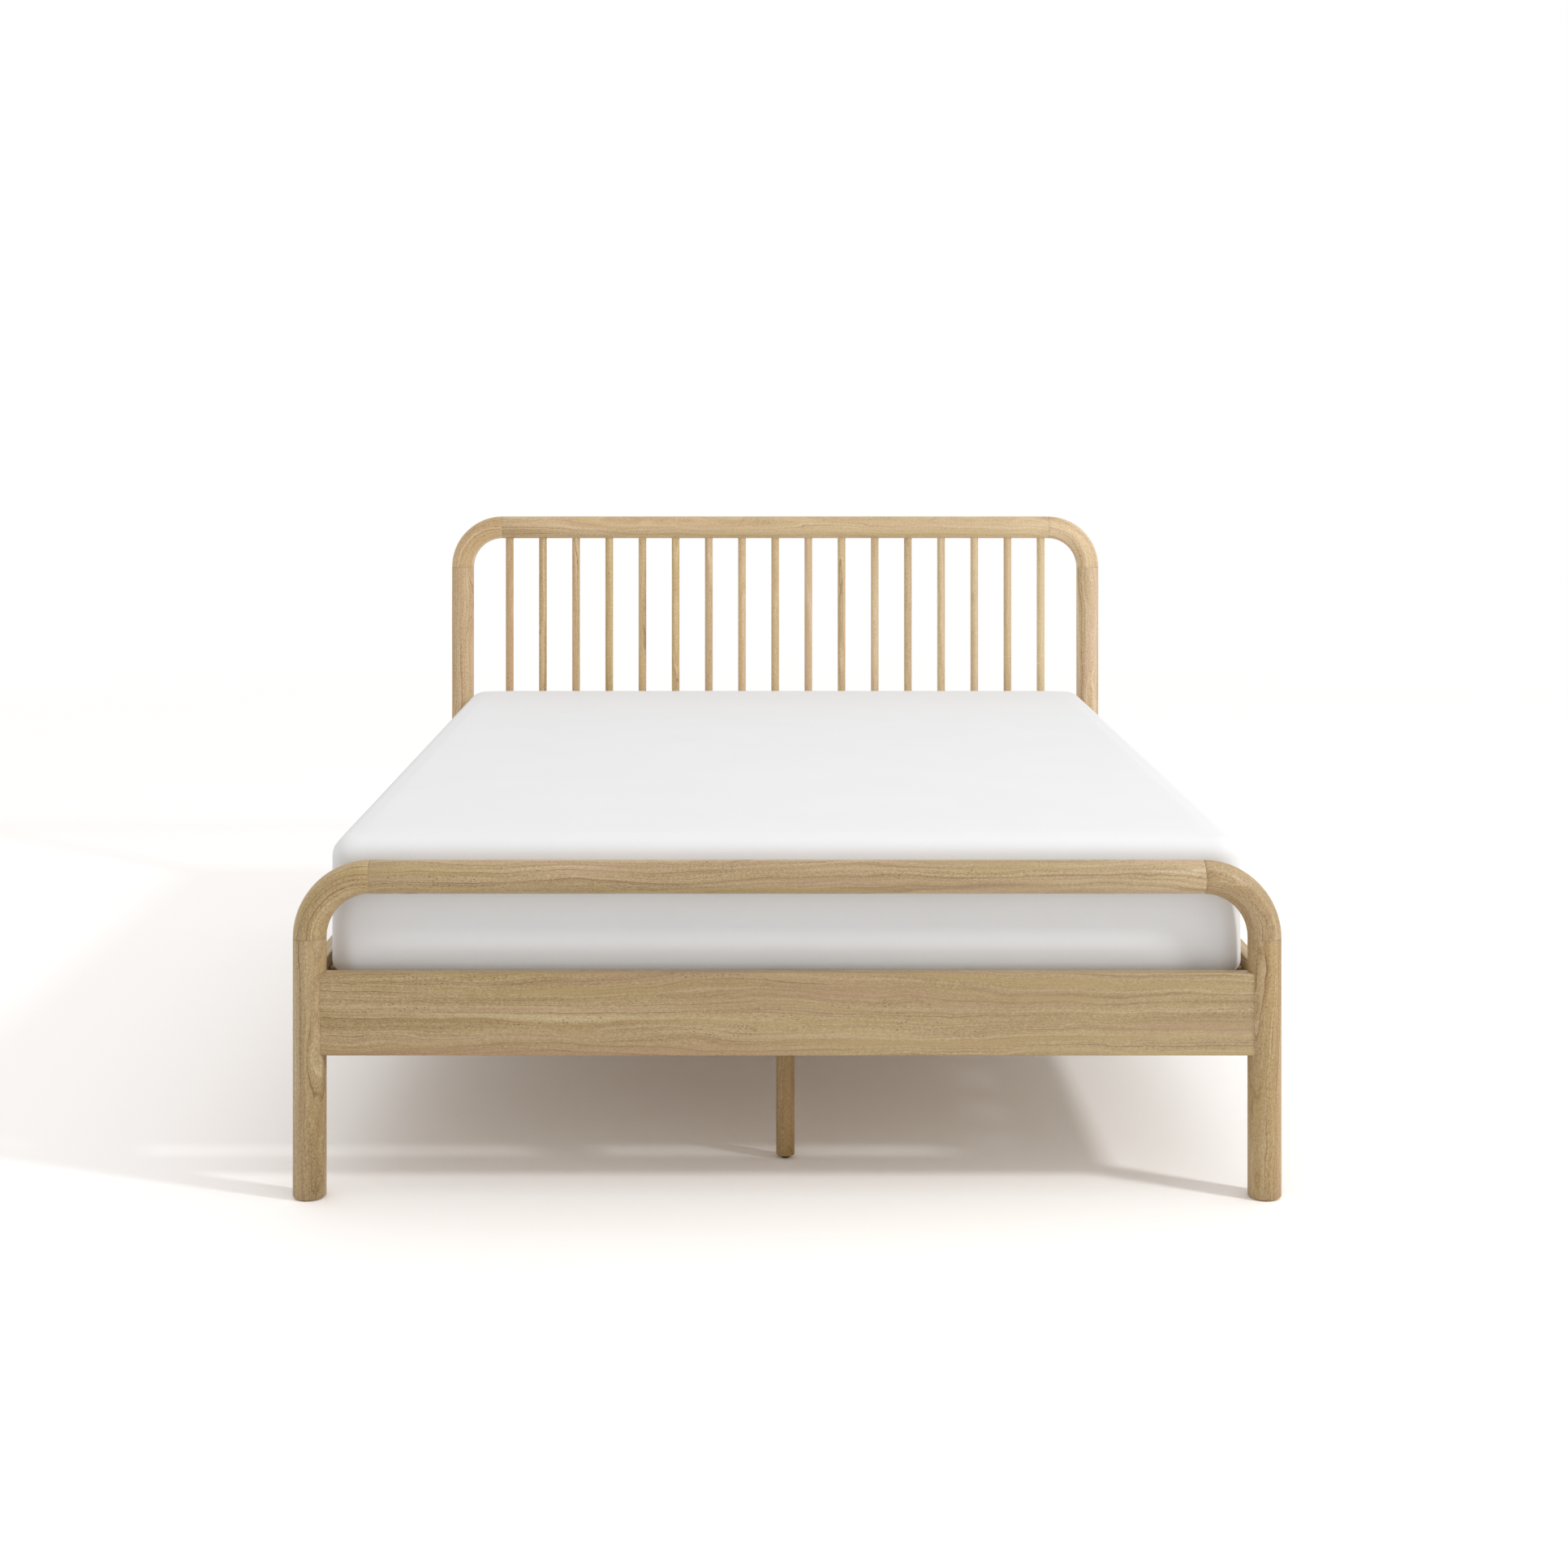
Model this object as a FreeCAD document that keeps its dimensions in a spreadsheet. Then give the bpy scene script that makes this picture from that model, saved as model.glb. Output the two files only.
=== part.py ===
import FreeCAD, Part
import math
import os

import Sketcher
from FreeCAD import Placement, Rotation, Vector

# A queen-size spindle bed in solid wood: a headboard of 17 round spindles in a bent round
# frame, a low footboard of the same round section, board rails, a slatted base on a centre
# beam with three legs, and a mattress.
# Millimetres. +Z is up, the foot of the bed faces -Y, and the origin is on the floor at the
# middle of the bed.

DIMENSIONS = [
    # overall
    ("bed_width", 1626, "outside of the posts"),
    ("bed_length", 2134, "outside of the posts"),
    ("head_height", 1016, "floor to the top of the headboard"),
    ("foot_height", 554, "floor to the top of the footboard"),
    # round frame
    ("post_dia", 55, "posts, bends and top rails share one round section"),
    ("bend_radius", 100, "centre line of a corner bend"),
    ("foot_chamfer", 3, "eased lower end of a post"),
    ("glue_gap", 0.1, "room all round a glued or housed joint"),
    ("spigot_dia", 20, "turned spigot at each end of a bend"),
    ("spigot_length", 26, "turned spigot at each end of a bend"),
    ("end_room", 1, "air beyond a spigot, a spindle or a tenon in its socket"),
    # spindles
    ("spindle_count", 17, "spindles in the headboard"),
    ("spindle_dia", 19.5, "plain round dowel stock"),
    ("spindle_pitch", 83.5, "centre to centre"),
    ("spindle_bite", 14, "length of spindle inside each socket"),
    # board rails
    ("rail_top", 371.5, "floor to the top of every board rail"),
    ("rail_height", 134.5, "height of the boards"),
    ("end_rail_thick", 26, "board at the foot and at the head"),
    ("foot_rail_out", 5.5, "foot rail, outwards from the middle of the posts"),
    ("side_rail_thick", 22, "boards at the sides"),
    ("rail_ease", 1.5, "eased long edges of the boards"),
    ("seat_offset", 20.5, "post axis to the flat seat of a rail housing"),
    ("tenon_thick", 12, "tenon of an end rail"),
    ("tenon_height", 90, "tenon of an end rail"),
    ("tenon_length", 14, "tenon of an end rail"),
    # slatted base
    ("slat_count", 10, "slats"),
    ("slat_width", 70, "slat"),
    ("slat_thick", 18, "slat"),
    ("slat_pitch", 197, "centre to centre"),
    ("slat_drop", 21.5, "top of the rails down to the top of the slats"),
    ("slat_ease", 2, "eased long edges of a slat"),
    ("slat_end_gap", 2, "slat end to side rail"),
    ("ledger_size", 25, "square strip that carries the slat ends"),
    ("ledger_chamfer", 3, "lower inner edge of the strip"),
    ("ledger_end_gap", 2.5, "post to the end of the strip"),
    ("beam_width", 34, "centre beam"),
    ("beam_height", 60, "centre beam"),
    ("beam_ease", 2, "eased long edges of the beam"),
    # centre legs
    ("leg_dia", 32, "centre leg"),
    ("leg_spacing", 833.5, "middle leg to the front or rear one"),
    ("stud_bolt_dia", 8, "hanger bolt between leg and beam"),
    ("stud_bolt_bite", 33, "length of hanger bolt in each of them"),
    ("stud_end_room", 2, "air beyond each end of a hanger bolt"),
    # levelling feet
    ("pad_top_dia", 18, "levelling foot"),
    ("pad_bottom_dia", 13, "levelling foot"),
    ("pad_height", 6, "levelling foot"),
    ("pad_stud_dia", 6, "threaded stud of a levelling foot"),
    ("pad_stud_length", 25, "threaded stud of a levelling foot"),
    # glides under the posts
    ("glide_height", 1.5, "glued-on glide under a post"),
    ("glide_dia", 40, "glued-on glide under a post"),
    # corner brackets
    ("bracket_thick", 3, "bent steel plate"),
    ("bracket_height", 50, "bent steel plate"),
    ("bracket_web", 24, "inside corner to where the slanted web begins"),
    ("bracket_flange", 40, "flange on each rail"),
    ("bracket_rise", 35, "lower edge of the rails to the middle of a bracket"),
    ("bolt_dia", 8, "bracket bolt, one in each flange"),
    ("bolt_length", 18, "bracket bolt under its head"),
    ("bolt_head_flats", 13, "across the flats of its hexagon head"),
    ("bolt_head_height", 5.3, "bracket bolt"),
    # beam hangers
    ("hanger_thick", 2.5, "pressed steel"),
    ("hanger_depth", 32, "pocket that holds the end of the beam"),
    ("hanger_height", 50, "pocket that holds the end of the beam"),
    ("hanger_ear", 18, "plate beyond the pocket, each side"),
    ("hanger_hole", 5, "screw hole"),
    ("hanger_play", 1, "pocket wider than the beam, and the beam short of each plate"),
    # mattress
    ("mattress_width", 1528, "queen size, at the fullest level"),
    ("mattress_length", 2030, "queen size, at the fullest level"),
    ("mattress_height", 236, "at the middle of the crown"),
    ("mattress_corner", 50, "upright corners"),
    ("mattress_top_edge", 38, "round upper edge"),
    ("mattress_low_edge", 24, "round lower edge"),
    ("mattress_tuck", 5, "sides drawn in at the top and the bottom"),
    ("mattress_crown", 7, "rise of the middle over the middle of a short side"),
    ("mattress_shift", 5.5, "towards the head, clear of the round foot rail"),
]

doc = FreeCAD.newDocument("SpindleBed")
sheet = doc.addObject("Spreadsheet::Sheet", "Dims")
for row, (alias, value, note) in enumerate(DIMENSIONS, start=1):
    sheet.set(f"A{row}", alias)
    sheet.set(f"B{row}", str(value))
    sheet.set(f"C{row}", note)
    sheet.setAlias(f"B{row}", alias)
doc.recompute()

# Places that several sub-parts share, as expressions over the sheet
POST_X = "(Dims.bed_width - Dims.post_dia) / 2"
POST_Y = "(Dims.bed_length - Dims.post_dia) / 2"
HEAD_AXIS_Z = "(Dims.head_height - Dims.post_dia / 2)"
FOOT_AXIS_Z = "(Dims.foot_height - Dims.post_dia / 2)"
RAIL_MID_Z = "(Dims.rail_top - Dims.rail_height / 2)"
SLAT_TOP_Z = "(Dims.rail_top - Dims.slat_drop)"
SLAT_BOTTOM_Z = "(Dims.rail_top - Dims.slat_drop - Dims.slat_thick)"
SIDE_FACE_X = "((Dims.bed_width - Dims.post_dia) / 2 - Dims.side_rail_thick / 2)"
BRACKET_Z = "(Dims.rail_top - Dims.rail_height + Dims.bracket_rise)"
BOLT_INSET = "(Dims.bracket_web + Dims.bracket_flange / 2)"
LEG_TOP_Z = f"({SLAT_BOTTOM_Z} - Dims.beam_height)"
LEG_PLACES = (("front", -1), ("middle", 0), ("rear", 1))

HIDDEN_FLATS = 12  # a bore or a shank that stays inside a joint is drawn with flats
PAD_FLATS = 24  # flats round a levelling foot
EDGE_STEPS = 3  # flats round each long edge of the mattress
ALONG, AGAINST = 1, -1  # the two ways that a pad or a cut can go from its sketch's plane
nodes = []  # the sub-parts that are written out, in order


def size(alias):
    """A driving dimension, as a number."""
    return float(sheet.get(alias))


def sin(degrees):
    return math.sin(math.radians(degrees))


def cos(degrees):
    return math.cos(math.radians(degrees))


def value_of(expression):
    """What an expression over the sheet comes to, as a number."""
    return float(doc.getObject("Dims").evalExpression(expression.replace("Dims.", "")))


def end_rail_y(end):
    """The middle of an end rail: the foot's stands outwards of its posts' axes, the head's is
    in line with them. end is -1 at the foot and 1 at the head."""
    out = "Dims.foot_rail_out" if end < 0 else "0"
    return f"({end} * ({POST_Y} + {out}))"


def end_face_y(end):
    """The inner face of an end rail."""
    return f"({end_rail_y(end)} - {end} * Dims.end_rail_thick / 2)"


# ---- small helpers over PartDesign ------------------------------------------------------


def new_body(label, x=None, y=None, z=None, kept=True):
    """A body of its own, placed by expressions."""
    body = doc.addObject("PartDesign::Body", label)
    body.Label = label
    for axis, expression in (("x", x), ("y", y), ("z", z)):
        if expression is not None:
            body.setExpression(f"Placement.Base.{axis}", str(expression))
    if kept:
        nodes.append(body)
    return body


def origin_plane(body, role):
    return next(f for f in body.Origin.OriginFeatures if f.Role == role)


def new_sketch(body, plane, x=None, y=None, off=None):
    """A sketch on one of the body's own origin planes, moved in that plane and off it."""
    sketch = body.newObject("Sketcher::SketchObject", f"{body.Name}_sketch")
    sketch.AttachmentSupport = [(origin_plane(body, f"{plane}_Plane"), "")]
    sketch.MapMode = "FlatFace"
    for axis, expression in (("x", x), ("y", y), ("z", off)):
        if expression is not None:
            sketch.setExpression(f"AttachmentOffset.Base.{axis}", str(expression))
    return sketch


def bind(sketch, constraint, expression):
    index = sketch.addConstraint(constraint)
    sketch.setExpression(f"Constraints[{index}]", str(expression))


def draw_circle(sketch, diameter, x=None):
    """A circle about the sketch's origin, or about a point on its horizontal axis."""
    start = Vector(value_of(x) if x else 0, 0, 0)
    circle = sketch.addGeometry(Part.Circle(start, Vector(0, 0, 1), value_of(diameter) / 2))
    if x is None:
        sketch.addConstraint(Sketcher.Constraint("Coincident", circle, 3, -1, 1))
    else:
        place_point(sketch, circle, 3, x, None)
    bind(sketch, Sketcher.Constraint("Diameter", circle, value_of(diameter)), diameter)


def draw_flats(sketch, across, count):
    """An equal-sided outline about the sketch's origin, sized across its flats."""
    reach = f"({across}) / 2 / {cos(180 / count):.6f}"
    turns = [(2 * i + 1) * 180 / count for i in range(count)]
    draw_polygon(sketch, [(f"{cos(t):.6f} * {reach}", f"{sin(t):.6f} * {reach}") for t in turns])


def draw_bore(sketch, shank):
    """The outline of a hole with room all round its shank."""
    draw_flats(sketch, f"{shank} + 2 * Dims.glue_gap", HIDDEN_FLATS)


def draw_shank(sketch, diameter):
    """The outline of a shank, whose corners lie on its diameter."""
    draw_flats(sketch, f"{diameter} * {cos(180 / HIDDEN_FLATS):.6f}", HIDDEN_FLATS)


def place_point(sketch, geometry, point, x, y):
    """Ties a point to a place given by expressions; None keeps it on that axis."""
    for kind, expression, axis in (("DistanceX", x, -2), ("DistanceY", y, -1)):
        if expression is None:
            sketch.addConstraint(Sketcher.Constraint("PointOnObject", geometry, point, axis))
        else:
            amount = value_of(expression)
            tie = Sketcher.Constraint(kind, -1, 1, geometry, point, amount)
            bind(sketch, tie, expression)


def draw_rectangle(sketch, width, height):
    """A rectangle centred on the sketch's origin."""
    w, h = value_of(width) / 2, value_of(height) / 2
    corners = [Vector(-w, -h, 0), Vector(w, -h, 0), Vector(w, h, 0), Vector(-w, h, 0)]
    for i in range(4):
        sketch.addGeometry(Part.LineSegment(corners[i], corners[(i + 1) % 4]))
    for i in range(4):
        sketch.addConstraint(Sketcher.Constraint("Coincident", i, 2, (i + 1) % 4, 1))
    for i in (0, 2):
        sketch.addConstraint(Sketcher.Constraint("Horizontal", i))
        sketch.addConstraint(Sketcher.Constraint("Vertical", i + 1))
    sketch.addConstraint(Sketcher.Constraint("Symmetric", 0, 1, 2, 1, -1, 1))
    bind(sketch, Sketcher.Constraint("DistanceX", 0, 1, 0, 2, 2 * w), width)
    bind(sketch, Sketcher.Constraint("DistanceY", 1, 1, 1, 2, 2 * h), height)


def draw_round_rectangle(sketch, width, height, radius):
    """A rectangle with round corners, centred on the sketch's origin."""
    w, h, r = value_of(width) / 2, value_of(height) / 2, value_of(radius)
    inner = [Vector(w - r, r - h, 0), Vector(w - r, h - r, 0), Vector(r - w, h - r, 0)]
    inner.append(Vector(r - w, r - h, 0))
    for i in range(4):  # the straight sides, the lower one first
        turn = (i - 1) * math.pi / 2
        out = Vector(r * math.cos(turn), r * math.sin(turn), 0)
        sketch.addGeometry(Part.LineSegment(inner[i - 1] + out, inner[i] + out))
    for i in range(4):
        circle = Part.Circle(inner[i], Vector(0, 0, 1), r)
        turn = (i - 1) * math.pi / 2
        sketch.addGeometry(Part.ArcOfCircle(circle, turn, turn + math.pi / 2))
    for i in range(4):
        sketch.addConstraint(Sketcher.Constraint("Tangent", i, 2, 4 + i, 1))
        sketch.addConstraint(Sketcher.Constraint("Tangent", 4 + i, 2, (i + 1) % 4, 1))
        if i:
            sketch.addConstraint(Sketcher.Constraint("Equal", 4, 4 + i))
    for i in (0, 2):
        sketch.addConstraint(Sketcher.Constraint("Horizontal", i))
        sketch.addConstraint(Sketcher.Constraint("Vertical", i + 1))
    sketch.addConstraint(Sketcher.Constraint("Symmetric", 0, 1, 2, 1, -1, 1))
    bind(sketch, Sketcher.Constraint("DistanceX", 3, 1, 1, 1, 2 * w), width)
    bind(sketch, Sketcher.Constraint("DistanceY", 0, 1, 2, 1, 2 * h), height)
    bind(sketch, Sketcher.Constraint("Radius", 4, r), radius)


def draw_polygon(sketch, corners):
    """A closed outline whose corners are pairs of expressions; None lies on an axis."""
    points = [Vector(value_of(x or "0"), value_of(y or "0"), 0) for x, y in corners]
    count = len(points)
    for i in range(count):
        sketch.addGeometry(Part.LineSegment(points[i], points[(i + 1) % count]))
    for i in range(count):
        sketch.addConstraint(Sketcher.Constraint("Coincident", i, 2, (i + 1) % count, 1))
    for i, (x, y) in enumerate(corners):
        place_point(sketch, i, 1, x, y)


def finish_feature(body, feature, must_cut):
    """Recomputes, and stops where a cut took nothing away or an addition added nothing."""
    before = body.Shape.Volume if body.Shape.Solids else 0.0
    body.Tip = feature
    doc.recompute()
    change = body.Shape.Volume - before
    if (change >= -1e-3) if must_cut else (change <= 1e-3):
        raise ValueError(f"{body.Label}: {feature.Name} changed its volume by {change:.3f}")
    return feature


def pad(body, sketch, length, way=ALONG, both_ways=False, inset=None):
    """Adds the sketch's outline along a length, drawn in by an inset at the far end."""
    feature = body.newObject("PartDesign::Pad", f"{body.Name}_pad")
    feature.Profile = sketch
    feature.Midplane = both_ways
    feature.Reversed = way == AGAINST
    feature.setExpression("Length", str(length))
    if inset is not None:
        feature.setExpression("TaperAngle", f"-atan(({inset}) / ({length}))")
    return finish_feature(body, feature, must_cut=False)


def cut(body, sketch, way, depth=None):
    """Cuts the sketch's outline to a depth, or through all where none is given."""
    feature = body.newObject("PartDesign::Pocket", f"{body.Name}_cut")
    feature.Profile = sketch
    feature.Reversed = way == ALONG
    if depth is None:
        feature.Type = "ThroughAll"
    else:
        feature.setExpression("Length", str(depth))
    return finish_feature(body, feature, must_cut=True)


def revolve(body, sketch, angle=360, way=ALONG):
    """Turns a sketch about its own upright axis."""
    feature = body.newObject("PartDesign::Revolution", f"{body.Name}_turned")
    feature.Profile = sketch
    feature.ReferenceAxis = (sketch, ["V_Axis"])
    feature.Angle = angle
    feature.Reversed = way == AGAINST
    return finish_feature(body, feature, must_cut=False)


def mirror(body, feature, plane, must_cut):
    """Repeats a feature on the other side of one of the body's origin planes."""
    mirrored = body.newObject("PartDesign::Mirrored", f"{body.Name}_mirrored")
    mirrored.Originals = [feature]
    mirrored.MirrorPlane = (origin_plane(body, f"{plane}_Plane"), [""])
    return finish_feature(body, mirrored, must_cut)


def repeat_in_line(body, feature, sketch, count, pitch):
    """Repeats a cut along its sketch's horizontal axis."""
    pattern = body.newObject("PartDesign::LinearPattern", f"{body.Name}_row")
    pattern.Originals = [feature]
    pattern.Direction = (sketch, ["H_Axis"])
    pattern.setExpression("Length", f"({count} - 1) * {pitch}")
    pattern.setExpression("Occurrences", count)
    return finish_feature(body, pattern, must_cut=True)


def ease_edges(body, wanted, amount):
    """Chamfers the edges that wanted(edge) picks, in the body's own frame."""
    base = body.Tip
    edges = base.Shape.Edges
    names = [f"Edge{i}" for i, edge in enumerate(edges, start=1) if wanted(edge)]
    if not names:
        raise ValueError(f"{body.Label}: no edge to ease")
    feature = body.newObject("PartDesign::Chamfer", f"{body.Name}_eased")
    feature.Base = (base, names)
    feature.setExpression("Size", str(amount))
    return finish_feature(body, feature, must_cut=True)


def is_straight(edge, axis):
    """Whether an edge is a straight one along a given axis."""
    if edge.Curve.TypeId != "Part::GeomLine":
        return False
    return abs(edge.Curve.Direction.dot(axis)) > 0.999


def is_ring_at(edge, height):
    """Whether an edge is a circle that lies flat at a given height."""
    return edge.Curve.TypeId == "Part::GeomCircle" and abs(edge.CenterOfMass.z - height) < 0.01


X_AXIS, Y_AXIS = Vector(1, 0, 0), Vector(0, 1, 0)


def bore_socket(body, plane, off, way):
    """The socket for a bend's spigot, in the end of a straight round piece."""
    sketch = new_sketch(body, plane, off=off)
    draw_bore(sketch, "Dims.spigot_dia")
    return cut(body, sketch, way, "Dims.spigot_length + Dims.end_room")


# ---- round frame of the headboard and the footboard -------------------------------------


def make_post(label, side, end, axis_z):
    """A post from its glide up to the bend, with the housings for both of its rails.
    side is -1 at the left and 1 at the right; end is -1 at the foot and 1 at the head."""
    body = new_body(label, f"{side} * {POST_X}", f"{end} * {POST_Y}")
    top = f"({axis_z} - Dims.bend_radius)"

    section = new_sketch(body, "XY", off="Dims.glide_height")
    draw_circle(section, "Dims.post_dia")
    pad(body, section, f"{top} - Dims.glide_height")
    foot = size("glide_height")
    ease_edges(body, lambda edge: is_ring_at(edge, foot), "Dims.foot_chamfer")

    # The end rail butts against a flat seat, and its tenon goes on into a mortise.
    room = "2 * Dims.glue_gap"
    inward = ALONG if side < 0 else AGAINST  # from this post towards the middle of the bed
    seat_x = f"{-side} * Dims.seat_offset"
    rail_y = f"{end_rail_y(end)} - {end} * {POST_Y}"
    housing = new_sketch(body, "YZ", rail_y, RAIL_MID_Z, seat_x)
    draw_rectangle(housing, f"Dims.end_rail_thick + {room}", f"Dims.rail_height + {room}")
    cut(body, housing, inward)
    mortise = new_sketch(body, "YZ", rail_y, RAIL_MID_Z, seat_x)
    draw_rectangle(mortise, f"Dims.tenon_thick + {room}", f"Dims.tenon_height + {room}")
    cut(body, mortise, -inward, "Dims.tenon_length + Dims.end_room")

    # The side rail butts against a flat seat in a housing of its own.
    to_middle = AGAINST if end < 0 else ALONG  # the XZ plane's normal is -Y
    side_housing = new_sketch(body, "XZ", y=RAIL_MID_Z, off=f"{end} * Dims.seat_offset")
    draw_rectangle(side_housing, f"Dims.side_rail_thick + {room}", f"Dims.rail_height + {room}")
    cut(body, side_housing, to_middle)
    bore_socket(body, "XY", top, AGAINST)
    return body


def make_bend(side, end, axis_z):
    """A quarter bend of the round section with a turned spigot at each end. Its own origin is
    the centre of the bend."""
    x = f"{side} * ({POST_X} - Dims.bend_radius)"
    body = new_body(f"bend_pattern_{end}_{side}", x, kept=False)
    body.setExpression("Placement.Base.y", f"{end} * {POST_Y}")
    body.setExpression("Placement.Base.z", f"{axis_z} - Dims.bend_radius")
    section = new_sketch(body, "XY")
    draw_circle(section, "Dims.post_dia", x=f"{side} * Dims.bend_radius")
    revolve(body, section, 90, ALONG if side < 0 else AGAINST)
    lower = new_sketch(body, "XY", x=f"{side} * Dims.bend_radius")
    draw_shank(lower, "Dims.spigot_dia")
    pad(body, lower, "Dims.spigot_length", AGAINST)
    inner = new_sketch(body, "YZ", y="Dims.bend_radius")
    draw_shank(inner, "Dims.spigot_dia")
    pad(body, inner, "Dims.spigot_length", AGAINST if side > 0 else ALONG)
    return body


def make_bends(label, end, axis_z):
    """The left and the right bend of one end, a solid each in one node."""
    make_group(label, [make_bend(side, end, axis_z).Shape for side in (-1, 1)])


def make_top_rail(label, end, axis_z, with_sockets):
    """The round rail between two bends. Its own origin is its middle."""
    body = new_body(label, y=f"{end} * {POST_Y}", z=axis_z)
    half = f"({POST_X} - Dims.bend_radius)"
    section = new_sketch(body, "YZ")
    draw_circle(section, "Dims.post_dia")
    pad(body, section, f"2 * {half}", both_ways=True)
    socket = bore_socket(body, "YZ", half, AGAINST)
    mirror(body, socket, "YZ", must_cut=True)
    if with_sockets:
        depth = "Dims.spindle_bite + Dims.end_room"
        cut_sockets(body, f"-Dims.post_dia / 2 + {depth}", AGAINST)
    return body


def cut_sockets(body, off, way):
    """The row of spindle sockets, cut from their blind ends outwards."""
    first = "-(Dims.spindle_count - 1) / 2 * Dims.spindle_pitch"
    sketch = new_sketch(body, "XY", x=first, off=off)
    draw_bore(sketch, "Dims.spindle_dia")
    socket = cut(body, sketch, way)
    repeat_in_line(body, socket, sketch, "Dims.spindle_count", "Dims.spindle_pitch")


def make_spindle(number):
    """One spindle. Its own origin is its lower end."""
    place = f"({number} - (Dims.spindle_count + 1) / 2) * Dims.spindle_pitch"
    foot = "Dims.rail_top - Dims.spindle_bite"
    head = f"({HEAD_AXIS_Z} - Dims.post_dia / 2 + Dims.spindle_bite)"
    body = new_body(f"spindle_{number:02d}", place, POST_Y, foot)
    section = new_sketch(body, "XY")
    draw_circle(section, "Dims.spindle_dia")
    pad(body, section, f"{head} - ({foot})")
    return body


# ---- board rails ------------------------------------------------------------------------


def drill_bolt_hole(body, plane, x, off, way):
    """The pilot hole for a bracket's bolt."""
    hole = new_sketch(body, plane, x, f"{BRACKET_Z} - {RAIL_MID_Z}", off)
    draw_bore(hole, "Dims.bolt_dia")
    depth = "Dims.bolt_length - Dims.bracket_thick + Dims.end_room"
    return cut(body, hole, way, depth)


def make_end_rail(label, end, with_sockets):
    """The board between two posts, with a tenon at each end. Its own origin is its middle."""
    body = new_body(label, y=end_rail_y(end), z=RAIL_MID_Z)
    half = f"({POST_X} - Dims.seat_offset)"
    section = new_sketch(body, "YZ")
    draw_rectangle(section, "Dims.end_rail_thick", "Dims.rail_height")
    pad(body, section, f"2 * {half}", both_ways=True)
    ease_edges(body, lambda edge: is_straight(edge, X_AXIS), "Dims.rail_ease")
    tenon = new_sketch(body, "YZ", off=half)
    draw_rectangle(tenon, "Dims.tenon_thick", "Dims.tenon_height")
    mirror(body, pad(body, tenon, "Dims.tenon_length"), "YZ", must_cut=False)
    face = f"{end} * Dims.end_rail_thick / 2"  # the XZ plane's normal is -Y
    into = AGAINST if end > 0 else ALONG
    hole = drill_bolt_hole(body, "XZ", f"{SIDE_FACE_X} - {BOLT_INSET}", face, into)
    mirror(body, hole, "YZ", must_cut=True)
    if with_sockets:
        depth = "(Dims.spindle_bite + Dims.end_room)"
        cut_sockets(body, f"Dims.rail_height / 2 - {depth}", ALONG)
    return body


def make_side_rail(label, side):
    """The board between the foot post and the head post. Its own origin is its middle."""
    body = new_body(label, f"{side} * {POST_X}", z=RAIL_MID_Z)
    section = new_sketch(body, "XZ")
    draw_rectangle(section, "Dims.side_rail_thick", "Dims.rail_height")
    pad(body, section, f"2 * ({POST_Y} - Dims.seat_offset)", both_ways=True)
    ease_edges(body, lambda edge: is_straight(edge, Y_AXIS), "Dims.rail_ease")
    face = f"{-side} * Dims.side_rail_thick / 2"
    into = ALONG if side > 0 else AGAINST
    for end in (-1, 1):
        place = f"{end_face_y(end)} - {end} * {BOLT_INSET}"
        drill_bolt_hole(body, "YZ", place, face, into)
    return body


# ---- slatted base -----------------------------------------------------------------------


def make_ledger(label, side):
    """The strip inside a side rail that carries the slat ends."""
    x = f"{side} * ({SIDE_FACE_X} - Dims.ledger_size / 2)"
    body = new_body(label, x, z=f"{SLAT_BOTTOM_Z} - Dims.ledger_size / 2")
    section = new_sketch(body, "XZ")
    draw_rectangle(section, "Dims.ledger_size", "Dims.ledger_size")
    reach = f"({POST_Y} - Dims.post_dia / 2 - Dims.ledger_end_gap)"
    pad(body, section, f"2 * {reach}", both_ways=True)

    def lower_inner(edge):
        at = edge.CenterOfMass
        return is_straight(edge, Y_AXIS) and at.z < 0 and side * at.x < 0

    ease_edges(body, lower_inner, "Dims.ledger_chamfer")
    return body


def make_slat(number):
    """One slat. Its own origin is its middle."""
    place = f"({number} - (Dims.slat_count + 1) / 2) * Dims.slat_pitch"
    body = new_body(f"slat_{number:02d}", y=place, z=f"{SLAT_TOP_Z} - Dims.slat_thick / 2")
    section = new_sketch(body, "YZ")
    draw_rectangle(section, "Dims.slat_width", "Dims.slat_thick")
    pad(body, section, f"2 * ({SIDE_FACE_X} - Dims.slat_end_gap)", both_ways=True)
    ease_edges(body, lambda edge: is_straight(edge, X_AXIS), "Dims.slat_ease")
    return body


def make_beam():
    """The beam under the middle of the slats, bored for the three hanger bolts."""
    middle = f"({end_face_y(1)} + {end_face_y(-1)}) / 2"
    length = f"({end_face_y(1)} - {end_face_y(-1)}) - 2 * (Dims.hanger_thick + Dims.hanger_play)"
    body = new_body("centre_beam", y=middle, z=f"{SLAT_BOTTOM_Z} - Dims.beam_height / 2")
    section = new_sketch(body, "XZ")
    draw_rectangle(section, "Dims.beam_width", "Dims.beam_height")
    pad(body, section, length, both_ways=True)
    ease_edges(body, lambda edge: is_straight(edge, Y_AXIS), "Dims.beam_ease")
    for _, step in LEG_PLACES:
        place = f"{step} * Dims.leg_spacing - {middle}"
        hole = new_sketch(body, "XY", y=place, off="-Dims.beam_height / 2")
        draw_bore(hole, "Dims.stud_bolt_dia")
        cut(body, hole, ALONG, "Dims.stud_bolt_bite + Dims.stud_end_room")
    return body


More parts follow.
